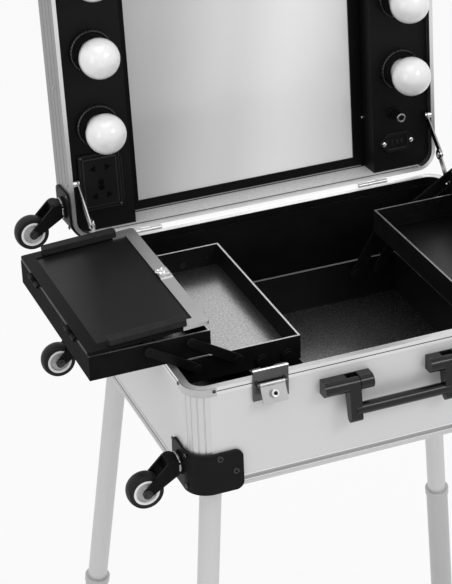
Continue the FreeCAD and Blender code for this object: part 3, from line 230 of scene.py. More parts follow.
def tone_ramp(tree, stops, kind):
    """Grey levels at places from 0 to 1."""
    made = add_node(tree, "ShaderNodeValToRGB")
    ramp = made.color_ramp
    ramp.interpolation = kind
    while len(ramp.elements) < len(stops):
        ramp.elements.new(0.5)
    for element, (place, level) in zip(ramp.elements, stops):
        element.position = place
        element.color = rgb(level)
    return made


BLACK_SHINE = 0.06
BOARD_SHINE = 0.004
SILVER_PANEL = surface("silver_panel", 0.68, 0.42, metal=0.2, mottle=0.012, patch=5.0, grain=1800.0,
                       grain_depth=0.00002, rough_swing=0.03)
ALUMINIUM = surface("bright_aluminium", 0.74, 0.34, metal=0.9, mottle=0.02, patch=9.0, grain=30.0,
                    rough_swing=0.02)
POST_ALUMINIUM = surface("post_aluminium", 0.62, 0.34, metal=0.8, mottle=0.02, patch=9.0, grain=30.0,
                         rough_swing=0.02, stretch=(1.0, 1.0, 0.2))
# Painted shade: a darker copy of the aluminium for the lid frame's sides; its front faces take the bright
# aluminium
LID_SHADED_ALUMINIUM = surface("lid_painted_shade_aluminium", 0.25, 0.38, metal=0.9, mottle=0.04, patch=14.0, grain=30.0,
                        rough_swing=0.02)
LID_LINING = surface("lid_lining", 0.66, 0.5, metal=0.1, mottle=0.10, patch=320.0, grain=1400.0,
                     grain_depth=0.00002, rough_swing=0.04)
CHROME = surface("chrome", 0.76, 0.12, metal=1.0, mottle=0.04, patch=60.0, grain=40.0, rough_swing=0.02)
SATIN_STEEL = surface("satin_steel", 0.42, 0.30, metal=1.0, mottle=0.04, patch=80.0, grain=50.0,
                      rough_swing=0.03)
DARK_STEEL = surface("dark_steel", 0.09, 0.26, metal=1.0, mottle=0.12, patch=60.0, grain=50.0,
                     rough_swing=0.03)
STAY_STEEL = surface("stay_steel", 0.30, 0.18, metal=1.0, mottle=0.10, patch=50.0, grain=60.0,
                     rough_swing=0.03, edge=(0.0007, 0.7))
HINGE_STEEL = surface("hinge_steel", 0.50, 0.30, metal=1.0, mottle=0.05, patch=70.0, grain=60.0,
                      rough_swing=0.03, edge=(0.0006, 0.12))
LINING = pebbled("black_lining", 0.005, 0.50, 620.0, 0.00010, Specular_IOR_Level=BLACK_SHINE)
TRAY_BOARD = pebbled("black_board", 0.009, 0.44, 700.0, 0.00008, edge=(0.0007, 0.05),
                     Specular_IOR_Level=BOARD_SHINE)
FLOOR_SHEET = pebbled("floor_sheet", 0.60, 0.27, 900.0, 0.00002, mottle=0.35, patch=420.0, metal=1.0)
# Painted shade: a dark copy of the floor sheet, for the right trays' floors
FLOOR_PAINTED_SHADE = pebbled("floor_painted_shade", 0.06, 0.34, 900.0, 0.00002, patch=420.0, metal=1.0)
BRIGHT_TRIM = surface("bright_trim", 0.66, 0.35, metal=0.8, mottle=0.05, patch=60.0, grain=60.0,
                      rough_swing=0.03)
# Mid trim, also painted half shade on the right lower tray's edges
MID_TRIM = surface("mid_trim", 0.30, 0.38, metal=0.6, mottle=0.10, patch=60.0, grain=60.0,
                   rough_swing=0.03)
# Painted shade: a dark trim for the right upper tray's edges, the rim's groove and the gap under the lid's
# front edge
PAINTED_SHADE_TRIM = surface("painted_shade_trim", 0.045, 0.42, metal=0.2, mottle=0.15, patch=60.0, grain=60.0,
                   rough_swing=0.03)
BLACK_STEEL = surface("black_steel", 0.006, 0.36, grain=1200.0, grain_depth=0.00002, mottle=0.3,
                      edge=(0.0006, 0.04), Specular_IOR_Level=BLACK_SHINE)
BLACK_PLASTIC = surface("black_plastic", 0.005, 0.40, grain=1500.0, grain_depth=0.00002, mottle=0.25,
                        edge=(0.0006, 0.035), Specular_IOR_Level=BLACK_SHINE)
SATIN_PANEL = surface("satin_panel", 0.005, 0.42, grain=1300.0, grain_depth=0.00002, mottle=0.12,
                      patch=12.0, Specular_IOR_Level=0.12)
BRACKET_BLACK = surface("bracket_black", 0.010, 0.44, grain=1100.0, grain_depth=0.00003, mottle=0.15,
                        patch=18.0, edge=(0.0012, 0.05), Specular_IOR_Level=BLACK_SHINE)
BAR_GREY = surface("bar_grey", 0.022, 0.52, grain=1600.0, grain_depth=0.00004, mottle=0.2, patch=90.0,
                   edge=(0.0012, 0.05), Specular_IOR_Level=BLACK_SHINE)
GLOSS_BLACK = surface("gloss_black", 0.007, 0.34, grain=40.0, rough_swing=0.02, mottle=0.1, patch=6.0,
                      Specular_IOR_Level=0.20)
OPAL = surface("bulb_white", 0.88, 0.20, grain=60.0, mottle=0.015, rough_swing=0.02,
               Subsurface_Weight=0.5, Subsurface_Scale=0.02, Subsurface_Radius=(1.0, 1.0, 1.0),
               Coat_Weight=0.6, Coat_Roughness=0.04)
RUBBER = surface("tyre_black", 0.010, 0.50, grain=1400.0, grain_depth=0.00004, mottle=0.25,
                 Specular_IOR_Level=0.18)
RING_WHITE = surface("ring_white", 0.80, 0.34, grain=60.0, mottle=0.04, rough_swing=0.03)
HUB_GREY = surface("hub_grey", 0.46, 0.40, grain=900.0, grain_depth=0.00001, mottle=0.06)
LEG_METAL = surface("leg_metal", 0.62, 0.38, metal=0.35, grain=30.0, rough_swing=0.02, mottle=0.02,
                    patch=20.0, stretch=(1.0, 1.0, 0.15))
SLEEVE_METAL = surface("sleeve_metal", 0.50, 0.38, metal=0.35, grain=30.0, rough_swing=0.02, mottle=0.03,
                       patch=20.0, stretch=(1.0, 1.0, 0.15))
RING_BLACK = surface("ring_black", 0.010, 0.26, grain=60.0, rough_swing=0.03, mottle=0.15, patch=60.0,
                     Specular_IOR_Level=0.40)
SOCKET_BLACK = surface("socket_black", 0.010, 0.38, grain=1500.0, grain_depth=0.00002, mottle=0.2,
                       edge=(0.0009, 0.09), Specular_IOR_Level=BLACK_SHINE)
# Painted shade: the dark of the outlet's slots and holes, on raised marks
SLOT_PAINTED_SHADE = surface("slot_painted_shade", 0.0012, 0.6, grain=60.0, mottle=0.2, rough_swing=0.03,
                     Specular_IOR_Level=0.05)
HANDLE_METAL = surface("handle_grey", 0.007, 0.18, grain=50.0, rough_swing=0.02, mottle=0.15, patch=40.0,
                       Specular_IOR_Level=0.30)


# Painted reflection: the mirror's grey levels across its width and their slant with height
MIRROR_REFLECTION_SLANT = -0.16
MIRROR_REFLECTION_TONES = ((0.0, 0.60), (0.36, 0.82), (0.64, 0.99), (1.0, 0.84))


def mirror_glass():
    """Silvered glass with a painted reflection: a tone that lightens towards its right half and slants with
    height.
    """
    made = surface("mirror_glass", 0.70, 0.12, grain=18.0, rough_swing=0.0)
    tree = made.node_tree
    shader = tree.nodes["Principled BSDF"]
    low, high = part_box("mirror")
    parts = add_node(tree, "ShaderNodeSeparateXYZ")
    tree.links.new(object_space(tree), parts.inputs[0])
    height = math_node(tree, "SUBTRACT", parts.outputs["Z"], low.z)
    slant = math_node(tree, "MULTIPLY", height, MIRROR_REFLECTION_SLANT)
    reach = math_node(tree, "ADD", parts.outputs["X"], slant)
    along = spread(tree, reach, 0.0, 1.0, low.x, high.x)
    ramp = tone_ramp(tree, MIRROR_REFLECTION_TONES, "EASE")
    tree.links.new(along, ramp.inputs["Fac"])
    tree.links.new(ramp.outputs["Color"], shader.inputs["Base Color"])
    return made


STRIP = 16.4 * MM
STRIP_RETURN = 33.0 * MM
COVER_BLACK = {"level": 0.003, "rough": 0.36}


def cover_frame_finish(side, way):
    """Aluminium along the cover's inner edge and round its ends, black elsewhere."""
    low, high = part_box(f"{side}_cover_frame")
    inner = low.x if way > 0 else high.x
    half = (high.y - low.y) / 2 - STRIP
    centre = (high.y + low.y) / 2

    def mask(tree):
        parts = add_node(tree, "ShaderNodeSeparateXYZ")
        tree.links.new(object_space(tree), parts.inputs[0])
        offset = math_node(tree, "SUBTRACT", parts.outputs["X"], inner)
        inward = math_node(tree, "MULTIPLY", offset, float(way))
        strip = math_node(tree, "LESS_THAN", inward, STRIP)
        shifted = math_node(tree, "SUBTRACT", parts.outputs["Y"], centre)
        ends = math_node(tree, "GREATER_THAN", math_node(tree, "ABSOLUTE", shifted, 0.0), half)
        corner = math_node(tree, "MULTIPLY", ends, math_node(tree, "LESS_THAN", inward, STRIP_RETURN))
        return math_node(tree, "MAXIMUM", strip, corner)

    made = surface(f"{side}_cover_strip", 0.64, 0.38, metal=1.0, mottle=0.03, patch=14.0, grain=30.0,
                   rough_swing=0.02, Specular_IOR_Level=BLACK_SHINE)
    return parted(made, mask, **COVER_BLACK)


RAIL_TONES = ((0.0, 0.58), (0.42, 0.80), (0.48, 0.36), (0.90, 0.80))


def banded_rail():
    """Rail whose lower band is light and whose upper band is darker, each below a bright line."""
    made = surface("rail_aluminium", 0.60, 0.36, metal=0.8, mottle=0.03, grain=30.0, rough_swing=0.02)
    tree = made.node_tree
    low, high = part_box("bottom_rail")
    parts = add_node(tree, "ShaderNodeSeparateXYZ")
    tree.links.new(object_space(tree), parts.inputs[0])
    ramp = tone_ramp(tree, RAIL_TONES, "CONSTANT")
    tree.links.new(spread(tree, parts.outputs["Z"], 0.0, 1.0, low.z, high.z), ramp.inputs["Fac"])
    tree.links.new(ramp.outputs["Color"], tree.nodes["Principled BSDF"].inputs["Base Color"])
    return made


FINISHES = {
    "wall_panels": SILVER_PANEL, "corner_posts": POST_ALUMINIUM, "top_rim": ALUMINIUM,
    "bottom_rail": banded_rail(), "floor_panel": SILVER_PANEL, "lining": LINING, "tray_carrier": LINING,
    "lid_frame": LID_SHADED_ALUMINIUM, "lid_back_panel": SILVER_PANEL, "mirror_frame": BLACK_PLASTIC,
    "mirror": mirror_glass(), "lamp_panels": SATIN_PANEL, "lamp_holders": BLACK_PLASTIC, "lamp_bulbs": OPAL,
    "power_sockets": SOCKET_BLACK, "dimmer_knob": BLACK_PLASTIC,
    "case_hinge_leaves": HINGE_STEEL, "lid_hinge_leaves": HINGE_STEEL, "stay_upper_arms": STAY_STEEL,
    "stay_lower_arms": STAY_STEEL, "lid_stay_studs": CHROME, "case_stay_studs": CHROME,
    "rim_corner_clips": HINGE_STEEL, "caster_brackets": BRACKET_BLACK, "lid_caster_brackets": BRACKET_BLACK,
    "left_latch_flap": SATIN_STEEL, "right_latch_flap": SATIN_STEEL, "latch_plates": DARK_STEEL,
    "handle_mounts": HANDLE_METAL, "handle_grip": HANDLE_METAL, "leg_sockets": LEG_METAL,
    "leg_tubes": LEG_METAL,
}
for side, way in SIDES.items():
    for piece in ("lower_tray", "upper_tray"):
        FINISHES[f"{side}_{piece}"] = TRAY_BOARD
    for tier in ("lower", "upper"):
        FINISHES[f"{side}_{tier}_links_inner"] = BLACK_STEEL
        FINISHES[f"{side}_{tier}_links_outer"] = BLACK_STEEL
    FINISHES[f"{side}_cover_frame"] = cover_frame_finish(side, way)
    FINISHES[f"{side}_cover_panel"] = GLOSS_BLACK
for caster in CASTERS:
    FINISHES[f"{caster}_caster_fork"] = BLACK_PLASTIC
    FINISHES[f"{caster}_caster_wheel"] = RUBBER
for corner in CORNERS:
    FINISHES[f"{corner}_leg_sleeve"] = SLEEVE_METAL

for name, finish in FINISHES.items():
    slots = NODES[name].data.materials
    slots.clear()
    slots.append(finish)


def repaint(name, finish, wanted):
    """Second finish on the faces of a node that wanted(middle, normal) picks."""
    data = NODES[name].data
    data.materials.append(finish)
    index = len(data.materials) - 1
    for face in data.polygons:
        if wanted(face.center, face.normal):
            face.material_index = index


FLAT = 0.98
SKEW = 0.3
LATCH_LIP = 3.4 * MM
RIM_GROOVE = 134.0 * MM
SKIN = 0.6 * MM
WALL = 3.0 * MM
TRIM_RISE = 31.5 * MM
# Tray trims: bright on the left trays, painted shade on the right ones: a mid copy on the lower and a dark
# copy on the upper
TRIMS_WITH_PAINTED_SHADE = {"left_lower_tray": BRIGHT_TRIM, "left_upper_tray": BRIGHT_TRIM, "right_lower_tray": MID_TRIM,
         "right_upper_tray": PAINTED_SHADE_TRIM}

for side in SIDES:
    for piece in ("lower_tray", "upper_tray"):
        tray = f"{side}_{piece}"
        tray_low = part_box(tray)[0]
        floor_z = tray_low.z + WALL
        trim_z = tray_low.z + TRIM_RISE
        # Painted shade: the right trays' floors get the dark copy of the floor sheet
        repaint(tray, FLOOR_PAINTED_SHADE if side == "right" else FLOOR_SHEET,
                lambda at, up: up.z > FLAT and at.z < floor_z)
        repaint(tray, TRIMS_WITH_PAINTED_SHADE[tray], lambda at, up: up.z > FLAT and abs(at.z - trim_z) < SKIN)
    panel_low, panel_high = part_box(f"{side}_cover_panel")
    bar_low = panel_low.y + STRIP
    bar_high = panel_high.y - STRIP
    repaint(f"{side}_cover_panel", BAR_GREY, lambda at, up: at.y < bar_low or at.y > bar_high)
lining_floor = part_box("lining")[0].z + WALL
repaint("lining", FLOOR_SHEET, lambda at, up: up.z > FLAT and at.z < lining_floor)

lid_front = LID_FRAME.to_3x3() @ Vector((0.0, -1.0, 0.0))
lid_across = LID_FRAME.to_3x3() @ Vector((0.0, 0.0, 1.0))
lid_zero = LID_FRAME.translation
LID_INSIDE = 8.6 * MM
repaint("lid_frame", LID_LINING,
        lambda at, up: up.dot(lid_across) > FLAT and (at - lid_zero).dot(lid_across) < LID_INSIDE)
# The lid frame's front faces get the bright aluminium, lit, against the painted shade of its sides
repaint("lid_frame", ALUMINIUM, lambda at, up: up.dot(lid_front) > FLAT)
carrier_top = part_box("tray_carrier")[1].z
repaint("tray_carrier", MID_TRIM, lambda at, up: up.z > FLAT and at.z > carrier_top - SKIN)
rim_middle = middle("top_rim")
repaint("top_rim", LINING, lambda at, up: abs(up.z) < SKEW and (at - rim_middle).dot(up) < 0)
# Painted shade in the rim's groove: its faces get the dark trim
groove_z = CASE_ZERO.z + RIM_GROOVE
repaint("top_rim", PAINTED_SHADE_TRIM, lambda at, up: abs(at.z - groove_z) < SKIN)
plate_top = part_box("latch_plates")[1].z
repaint("latch_plates", CHROME, lambda at, up: at.z > plate_top - LATCH_LIP)

FOOT_HEIGHT = 33.0 * MM
for corner in CORNERS:
    repaint(f"{corner}_leg_sleeve", RUBBER, lambda at, up: at.z < FOOT_HEIGHT)

TYRE_INNER = 16.1 * MM
HUB_LIP = 12.9 * MM
for caster in CASTERS:
    wheel = f"{caster}_caster_wheel"
    axle = middle(wheel)
    repaint(wheel, RING_WHITE,
            lambda at, up: HUB_LIP < math.hypot(at.x - axle.x, at.z - axle.z) < TYRE_INNER)
    repaint(wheel, HUB_GREY,
            lambda at, up: math.hypot(at.x - axle.x, at.z - axle.z) <= HUB_LIP)


# Small hardware, in millimetres of the case's or the lid's frame

def extent(node, at):
    """Lowest and highest corners of a node in millimetres of another frame."""
    back = at.inverted()
    spots = [back @ vertex.co / MM for vertex in NODES[node].data.vertices]
    return (Vector([min(spot[axis] for spot in spots) for axis in range(3)]),
            Vector([max(spot[axis] for spot in spots) for axis in range(3)]))


def turned(mesh, at, profile, steps=24, closed=False, ribs=0, rib=0.0):
    """Turn radius and height pairs round the Z axis of a frame; ribs scallop the rim."""
    rings = []
    for radius, height in profile:
        ring = []
        for step in range(steps if radius else 1):
            angle = 2 * math.pi * step / steps
            swing = radius * (1 + rib * math.cos(ribs * angle))
            spot = Vector((swing * math.cos(angle), swing * math.sin(angle), height))
            ring.append(mesh.verts.new(at @ (spot * MM)))
        rings.append(ring)
    pairs = list(zip(rings, rings[1:]))
    if closed:
        pairs.append((rings[-1], rings[0]))
    for lower, upper in pairs:
        for step in range(steps):
            after = step + 1
            corners = [lower[step % len(lower)], lower[after % len(lower)],
                       upper[after % len(upper)], upper[step % len(upper)]]
            mesh.faces.new(list(dict.fromkeys(corners)))


BEVEL_STEPS = 2


def slab(mesh, at, width, length, height, bevel):
    """Plate with softened edges, its underside at the frame's origin."""
    corners = []
    for z in (0.0, height):
        for x, y in ((-1, -1), (1, -1), (1, 1), (-1, 1)):
            corners.append(mesh.verts.new(at @ (Vector((x * width / 2, y * length / 2, z)) * MM)))
    sides = [(0, 1, 5, 4), (1, 2, 6, 5), (2, 3, 7, 6), (3, 0, 4, 7), (3, 2, 1, 0), (4, 5, 6, 7)]
    faces = [mesh.faces.new([corners[index] for index in side]) for side in sides]
    edges = list({edge for face in faces for edge in face.edges})
    bmesh.ops.bevel(mesh, geom=edges, offset=bevel * MM, segments=BEVEL_STEPS, affect="EDGES")


SHARP = math.radians(35.0)


def finished(name, mesh, body, finish):
    """Make a piece of a mesh and let it ride on a body."""
    bmesh.ops.recalc_face_normals(mesh, faces=mesh.faces)
    data = bpy.data.meshes.new(name)
    mesh.to_mesh(data)
    mesh.free()
    for face in data.polygons:
        face.use_smooth = True
    data.set_sharp_from_angle(angle=SHARP)
    data.materials.append(finish)
    made = bpy.data.objects.new(name, data)
    bpy.context.scene.collection.objects.link(made)
    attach(made, body)


# A pan head with a round driver recess, for a head of radius 1
SCREW = ((0.0, 0.12), (0.30, 0.12), (0.40, 0.48), (0.62, 0.46), (0.88, 0.30), (1.0, 0.0), (0.92, -0.12),
         (0.0, -0.12))
SMALL_STEPS = 20
TINY_STEPS = 16


def screws(name, body, finish, radius, frames):
    mesh = bmesh.new()
    for at in frames:
        turned(mesh, at, [(radius * out, radius * rise) for out, rise in SCREW], steps=SMALL_STEPS)
    finished(name, mesh, body, finish)


FRONT = (0, -1, 0)
BACK = (0, 1, 0)
UP = (0, 0, 1)
OUT = {"left": (-1, 0, 0), "right": (1, 0, 0)}

# Case: screws in the front and rear faces of the brackets and in the rim clips
BRACKET_FACE = 208.0
BRACKET_SCREW = 4.4
BRACKET_SCREWS = ((-227.3, 44.7), (-208.1, 24.4))
screws("bracket_screws", "case", RING_BLACK, BRACKET_SCREW,
       [aimed(CASE_FRAME, x, end * BRACKET_FACE, z, (0, end, 0))
        for end in (-1, 1) for x, z in BRACKET_SCREWS])
CLIP_SCREW = 2.4
CLIP_HEIGHT = 135.0
CLIP_FRONT = (230.2, 206.0)
CLIP_SIDE = (261.0, 171.2)
clip_frames = []
for side, way in SIDES.items():
    for end in (-1, 1):
        for (across, along), normal in ((CLIP_FRONT, (0, end, 0)), (CLIP_SIDE, OUT[side])):
            clip_frames.append(aimed(CASE_FRAME, way * across, end * along, CLIP_HEIGHT, normal))
screws("clip_screws", "case", DARK_STEEL, CLIP_SCREW, clip_frames)

# Lid: screws in its sides, the outlet, the inlet and the mirror's frame
LID_SIDE = 260.0
LID_SIDE_SCREW = 2.6
LID_SIDE_SCREWS = ((257.1, 339.0), (229.7, 214.9))
OUTLET_SCREW = 1.8
OUTLET_SCREWS = ((-241.2, 6.8, 111.2), (-191.8, 6.8, 40.8))
INLET_SCREW = 3.2
INLET_SCREWS = ((186.9, 10.0, 48.0), (226.9, 10.0, 48.0))
MIRROR_SCREW = 1.8
MIRROR_SCREWS = ((-171.2, 45.0, 79.5), (171.2, 45.0, 79.5))
screws("lid_side_screws", "lid", STAY_STEEL, LID_SIDE_SCREW,
       [aimed(CASE_FRAME, way * LID_SIDE, y, z, OUT[side])
        for side, way in SIDES.items() for y, z in LID_SIDE_SCREWS])
for name, slot, finish, radius, spots in (
        ("outlet_screws", "black_steel", DARK_STEEL, OUTLET_SCREW, OUTLET_SCREWS),
        ("inlet_screws", "chrome", CHROME, INLET_SCREW, INLET_SCREWS),
        ("mirror_screws", "chrome", CHROME, MIRROR_SCREW, MIRROR_SCREWS)):
    screws(name, "lid", finish, radius, [aimed(LID_FRAME, *spot, FRONT) for spot in spots])

# Outlet: a cover plate over the socket, with two pairs of wedge slots and two round holes between them,
# raised dark marks painted as the shade inside them
OUTLET = (-216.5, 13.0, 76.0)
OUTLET_PLATE = (55.7, 76.0, 6.2)
OUTLET_FACE = (45.0, 65.0, 7.0)
PLATE_BEVEL = 1.4
FACE_BEVEL = 0.6
WEDGE_SIDES = 3
WEDGE = ((0.0, 0.3), (4.9, 0.3), (5.5, 0.0), (5.5, -0.4), (0.0, -0.4))
EARTH = ((0.0, 0.3), (3.7, 0.3), (4.2, 0.0), (4.2, -0.4), (0.0, -0.4))
SLOT_ACROSS = 9.2
SLOT_RISE = 19.0
EARTH_SPOTS = (0.0, -7.4)
outlet_at = aimed(LID_FRAME, *OUTLET, FRONT)
plate = bmesh.new()
slab(plate, outlet_at, *OUTLET_PLATE, PLATE_BEVEL)
slab(plate, outlet_at, *OUTLET_FACE, FACE_BEVEL)
finished("outlet_plate", plate, "lid", SOCKET_BLACK)
slots = bmesh.new()
for across in (-1, 1):
    for rise in (-1, 1):
        spot = Vector((across * SLOT_ACROSS, rise * SLOT_RISE, OUTLET_FACE[2]))
        turn = Matrix.Rotation(0.0 if across > 0 else math.pi, 4, "Z")
        turned(slots, outlet_at @ Matrix.Translation(spot * MM) @ turn, WEDGE, steps=WEDGE_SIDES)
for rise in EARTH_SPOTS:
    spot = Vector((0.0, rise, OUTLET_FACE[2]))
    turned(slots, outlet_at @ Matrix.Translation(spot * MM), EARTH, steps=SMALL_STEPS)
finished("outlet_slots", slots, "lid", SLOT_PAINTED_SHADE)

# Ribbed rings round the lamp holders
HOLDER_RING = ((23.5, 1.0), (25.2, 6.4), (26.4, 6.8), (27.6, 5.8), (28.4, 1.2), (28.2, 0.0), (24.0, 0.0))
RING_STEPS = 144
RING_RIBS = 36
RIB_SHARE = 0.014
LAMP_FACE = 13.0
LAMP_ROWS = 3
BULB = 26.0
bulb_low, bulb_high = extent("lamp_bulbs", LID_FRAME)
lamp_rings = bmesh.new()
for x in (bulb_low.x + BULB, bulb_high.x - BULB):
    for row in range(LAMP_ROWS):
        z = bulb_low.z + BULB + (bulb_high.z - bulb_low.z - 2 * BULB) * row / (LAMP_ROWS - 1)
        turned(lamp_rings, aimed(LID_FRAME, x, LAMP_FACE, z, FRONT), HOLDER_RING, steps=RING_STEPS,
               closed=True, ribs=RING_RIBS, rib=RIB_SHARE)
finished("lamp_rings", lamp_rings, "lid", RING_BLACK)

# Dimmer: a bright ring round the knob's tip
DIMMER_RING = ((3.6, 0.0), (4.0, 0.9), (5.2, 1.2), (6.3, 0.8), (6.4, -1.4), (3.6, -1.4))
knob_low, knob_high = extent("dimmer_knob", LID_FRAME)
knob_x = (knob_low.x + knob_high.x) / 2
knob_z = (knob_low.z + knob_high.z) / 2
knob_ring = bmesh.new()
turned(knob_ring, aimed(LID_FRAME, knob_x, knob_low.y, knob_z, FRONT), DIMMER_RING, closed=True)
finished("dimmer_ring", knob_ring, "dimmer", STAY_STEEL)

# Thin beads: a dark one along the lid's lower front edge, painted shade in the gap there, and a bright one
# under the mirror's frame
BEAD_BEVEL = 0.3
SHADE_BEAD_SPOT = (0.0, 5.6, 8.2)
SHADE_BEAD_SIZE = (470.0, 1.6, 0.9)
BEAD_STAND = 0.2
BEAD_RISE = 2.2
BEAD_SHORT = 8.0
BEAD_SECTION = (1.5, 0.9)
lid_shade_bead = bmesh.new()
slab(lid_shade_bead, aimed(LID_FRAME, *SHADE_BEAD_SPOT, UP), *SHADE_BEAD_SIZE, BEAD_BEVEL)
finished("lid_shade_bead", lid_shade_bead, "lid", PAINTED_SHADE_TRIM)
frame_low, frame_high = extent("mirror_frame", LID_FRAME)
mirror_bead = bmesh.new()
slab(mirror_bead, aimed(LID_FRAME, 0.0, frame_low.y + BEAD_STAND, frame_low.z + BEAD_RISE, FRONT),
     frame_high.x - frame_low.x - BEAD_SHORT, *BEAD_SECTION, BEAD_BEVEL)
finished("mirror_bead", mirror_bead, "lid", MID_TRIM)

# Stays: washers and a domed rivet at each knee
KNEE = ((0.0, 2.6), (2.0, 2.4), (3.6, 1.2), (4.0, 0.9), (7.2, 0.9), (8.0, 0.3), (8.0, -0.2), (0.0, -0.2))
KNEE_INSET = 5.0
arm_high = extent("stay_lower_arms", CASE_FRAME)[1]
arm_face = min(abs(vertex.co.x - CASE_ZERO.x) / MM for name in ("stay_lower_arms", "stay_upper_arms")
               for vertex in NODES[name].data.vertices)
knees = bmesh.new()
for side, way in SIDES.items():
    inward = tuple(-part for part in OUT[side])
    knee_at = aimed(CASE_FRAME, way * arm_face, arm_high.y - KNEE_INSET, arm_high.z - KNEE_INSET, inward)
    turned(knees, knee_at, KNEE)
finished("stay_knees", knees, "stay_lower", CHROME)

# Latches: a rimmed lock with a sunk keyway, a dark disc painted as the shade in its keyhole
LOCK_RIM = ((0.0, -0.2), (2.3, -0.2), (2.6, 0.7), (3.6, 1.0), (4.4, 0.6), (4.5, -0.6), (0.0, -0.6))
KEYWAY = ((0.0, 0.35), (1.5, 0.35), (2.2, 0.1), (2.2, -0.1), (0.0, -0.1))
FLAP_AJAR = math.radians(27.0)
CAP_SKIN = 0.05 * MM
facing = Vector((0.0, -math.cos(FLAP_AJAR), math.sin(FLAP_AJAR)))
facing_turn = facing.to_track_quat("Z", "Y").to_matrix().to_4x4()
for side in SIDES:
    flap = NODES[f"{side}_latch_flap"].data
    reach = max(vertex.co.dot(facing) for vertex in flap.vertices)
    cap = [vertex.co for vertex in flap.vertices if vertex.co.dot(facing) > reach - CAP_SKIN]
    at = Matrix.Translation(sum(cap, Vector()) / len(cap)) @ facing_turn
    rim = bmesh.new()
    turned(rim, at, LOCK_RIM)
    finished(f"{side}_lock_rim", rim, f"{side}_latch", CHROME)
    key = bmesh.new()
    turned(key, at, KEYWAY, steps=TINY_STEPS)
    finished(f"{side}_lock_key", key, f"{side}_latch", BLACK_STEEL)

# Casters: washers and nuts on both ends of the axle, a ring on the swivel and bolts round it
AXLE_HALF = 13.0
NUT = ((0.0, 2.6), (2.2, 2.6), (2.6, 2.2), (3.6, 2.0), (4.0, 1.0), (5.6, 0.9), (6.0, 0.4), (6.0, -0.6),
       (0.0, -0.6))
RACE_RING = ((11.0, 0.0), (13.4, 0.0), (14.0, 0.8), (14.0, 2.2), (13.4, 3.0), (11.0, 3.0))
RACE_STAND = 5.2
STEM_END = 1.0
BOLT_REACH = 21.0
PLATE_BOLT = 2.8
PLATE_STAND = 3.0
for caster in CASTERS:
    body = f"{caster}_caster_swivel"
    carrier, base = ("lid", LID_FRAME) if "lid" in caster else ("case", CASE_FRAME)
    fork_high = extent(f"{caster}_caster_fork", base)[1]
    wheel_low, wheel_high = extent(f"{caster}_caster_wheel", base)
    axle = (wheel_low + wheel_high) / 2
    nuts = bmesh.new()
    turned(nuts, aimed(base, axle.x, axle.y - AXLE_HALF, axle.z, FRONT), NUT)
    turned(nuts, aimed(base, axle.x, axle.y + AXLE_HALF, axle.z, BACK), NUT)
    finished(f"{caster}_axle_nuts", nuts, body, RING_BLACK)
    back = base.inverted()
    stem = [back @ vertex.co / MM for vertex in NODES[f"{caster}_caster_fork"].data.vertices]
    stem = [spot for spot in stem if spot.x > fork_high.x - STEM_END]
    pivot = sum(stem, Vector()) / len(stem)
    race = bmesh.new()
    turned(race, aimed(base, fork_high.x - RACE_STAND, pivot.y, pivot.z, OUT["left"]), RACE_RING,
           closed=True)
    finished(f"{caster}_swivel_ring", race, body, STAY_STEEL)
    screws(f"{caster}_plate_bolts", carrier, DARK_STEEL, PLATE_BOLT,
           [aimed(base, fork_high.x - PLATE_STAND, pivot.y + back_way * BOLT_REACH,
                  pivot.z + up_way * BOLT_REACH, OUT["left"])
            for back_way in (-1, 1) for up_way in (-1, 1)])

# Covers: a chrome catch on each strip, a plate with two knobs and a loop
CATCH_INSET = 8.65
CATCH_BACK = 2.0
CATCH_KNOB = ((0.0, 3.4), (1.2, 3.2), (2.0, 2.4), (1.5, 1.6), (2.4, 1.0), (2.6, -0.4), (0.0, -0.4))
CATCH_LOOP = ((3.0, 0.0), (3.7, 0.9), (4.6, 0.9), (5.2, 0.0), (4.6, -0.9), (3.7, -0.9))
CATCH_SIZE = (13.0, 15.0, 1.4)
CATCH_BEVEL = 0.5
CATCH_SINK = 0.4
KNOB_SHIFT = 4.2
KNOB_RISE = 1.2
LOOP_SHIFT = 5.0
LOOP_RISE = 1.6
for side, way in SIDES.items():
    strip_low, strip_high = extent(f"{side}_cover_frame", CASE_FRAME)
    strip_edge = strip_high.x if side == "left" else strip_low.x
    catch = bmesh.new()
    at = aimed(CASE_FRAME, strip_edge + way * CATCH_INSET, CATCH_BACK, strip_high.z - CATCH_SINK, UP)
    slab(catch, at, *CATCH_SIZE, CATCH_BEVEL)
    for shift in (-KNOB_SHIFT, KNOB_SHIFT):
        knob_at = at @ Matrix.Translation(Vector((0.0, shift, KNOB_RISE)) * MM)
        turned(catch, knob_at, CATCH_KNOB, steps=TINY_STEPS)
    loop_at = at @ Matrix.Translation(Vector((-way * LOOP_SHIFT, 0.0, LOOP_RISE)) * MM)
    turned(catch, loop_at, CATCH_LOOP, steps=SMALL_STEPS, closed=True)
    finished(f"{side}_cover_catch", catch, f"{side}_cover", CHROME)

# Stage: a pale floor, and soft light from the front right, from above and from the left

FLOOR_HALF = 60.0
FLOOR_LEVEL = 0.90
FLOOR_ROUGH = 0.9
WORLD_STRENGTH = 0.68
BACKGROUND = 1.0
FLOOR_GLOW = 0.85


def seen_directly(tree):
    """1 for rays from the camera, and for those mirrored in metal or glass."""
    path = add_node(tree, "ShaderNodeLightPath")
    shiny = math_node(tree, "MAXIMUM", path.outputs["Is Glossy Ray"], path.outputs["Is Transmission Ray"])
    return math_node(tree, "MAXIMUM", path.outputs["Is Camera Ray"], shiny)


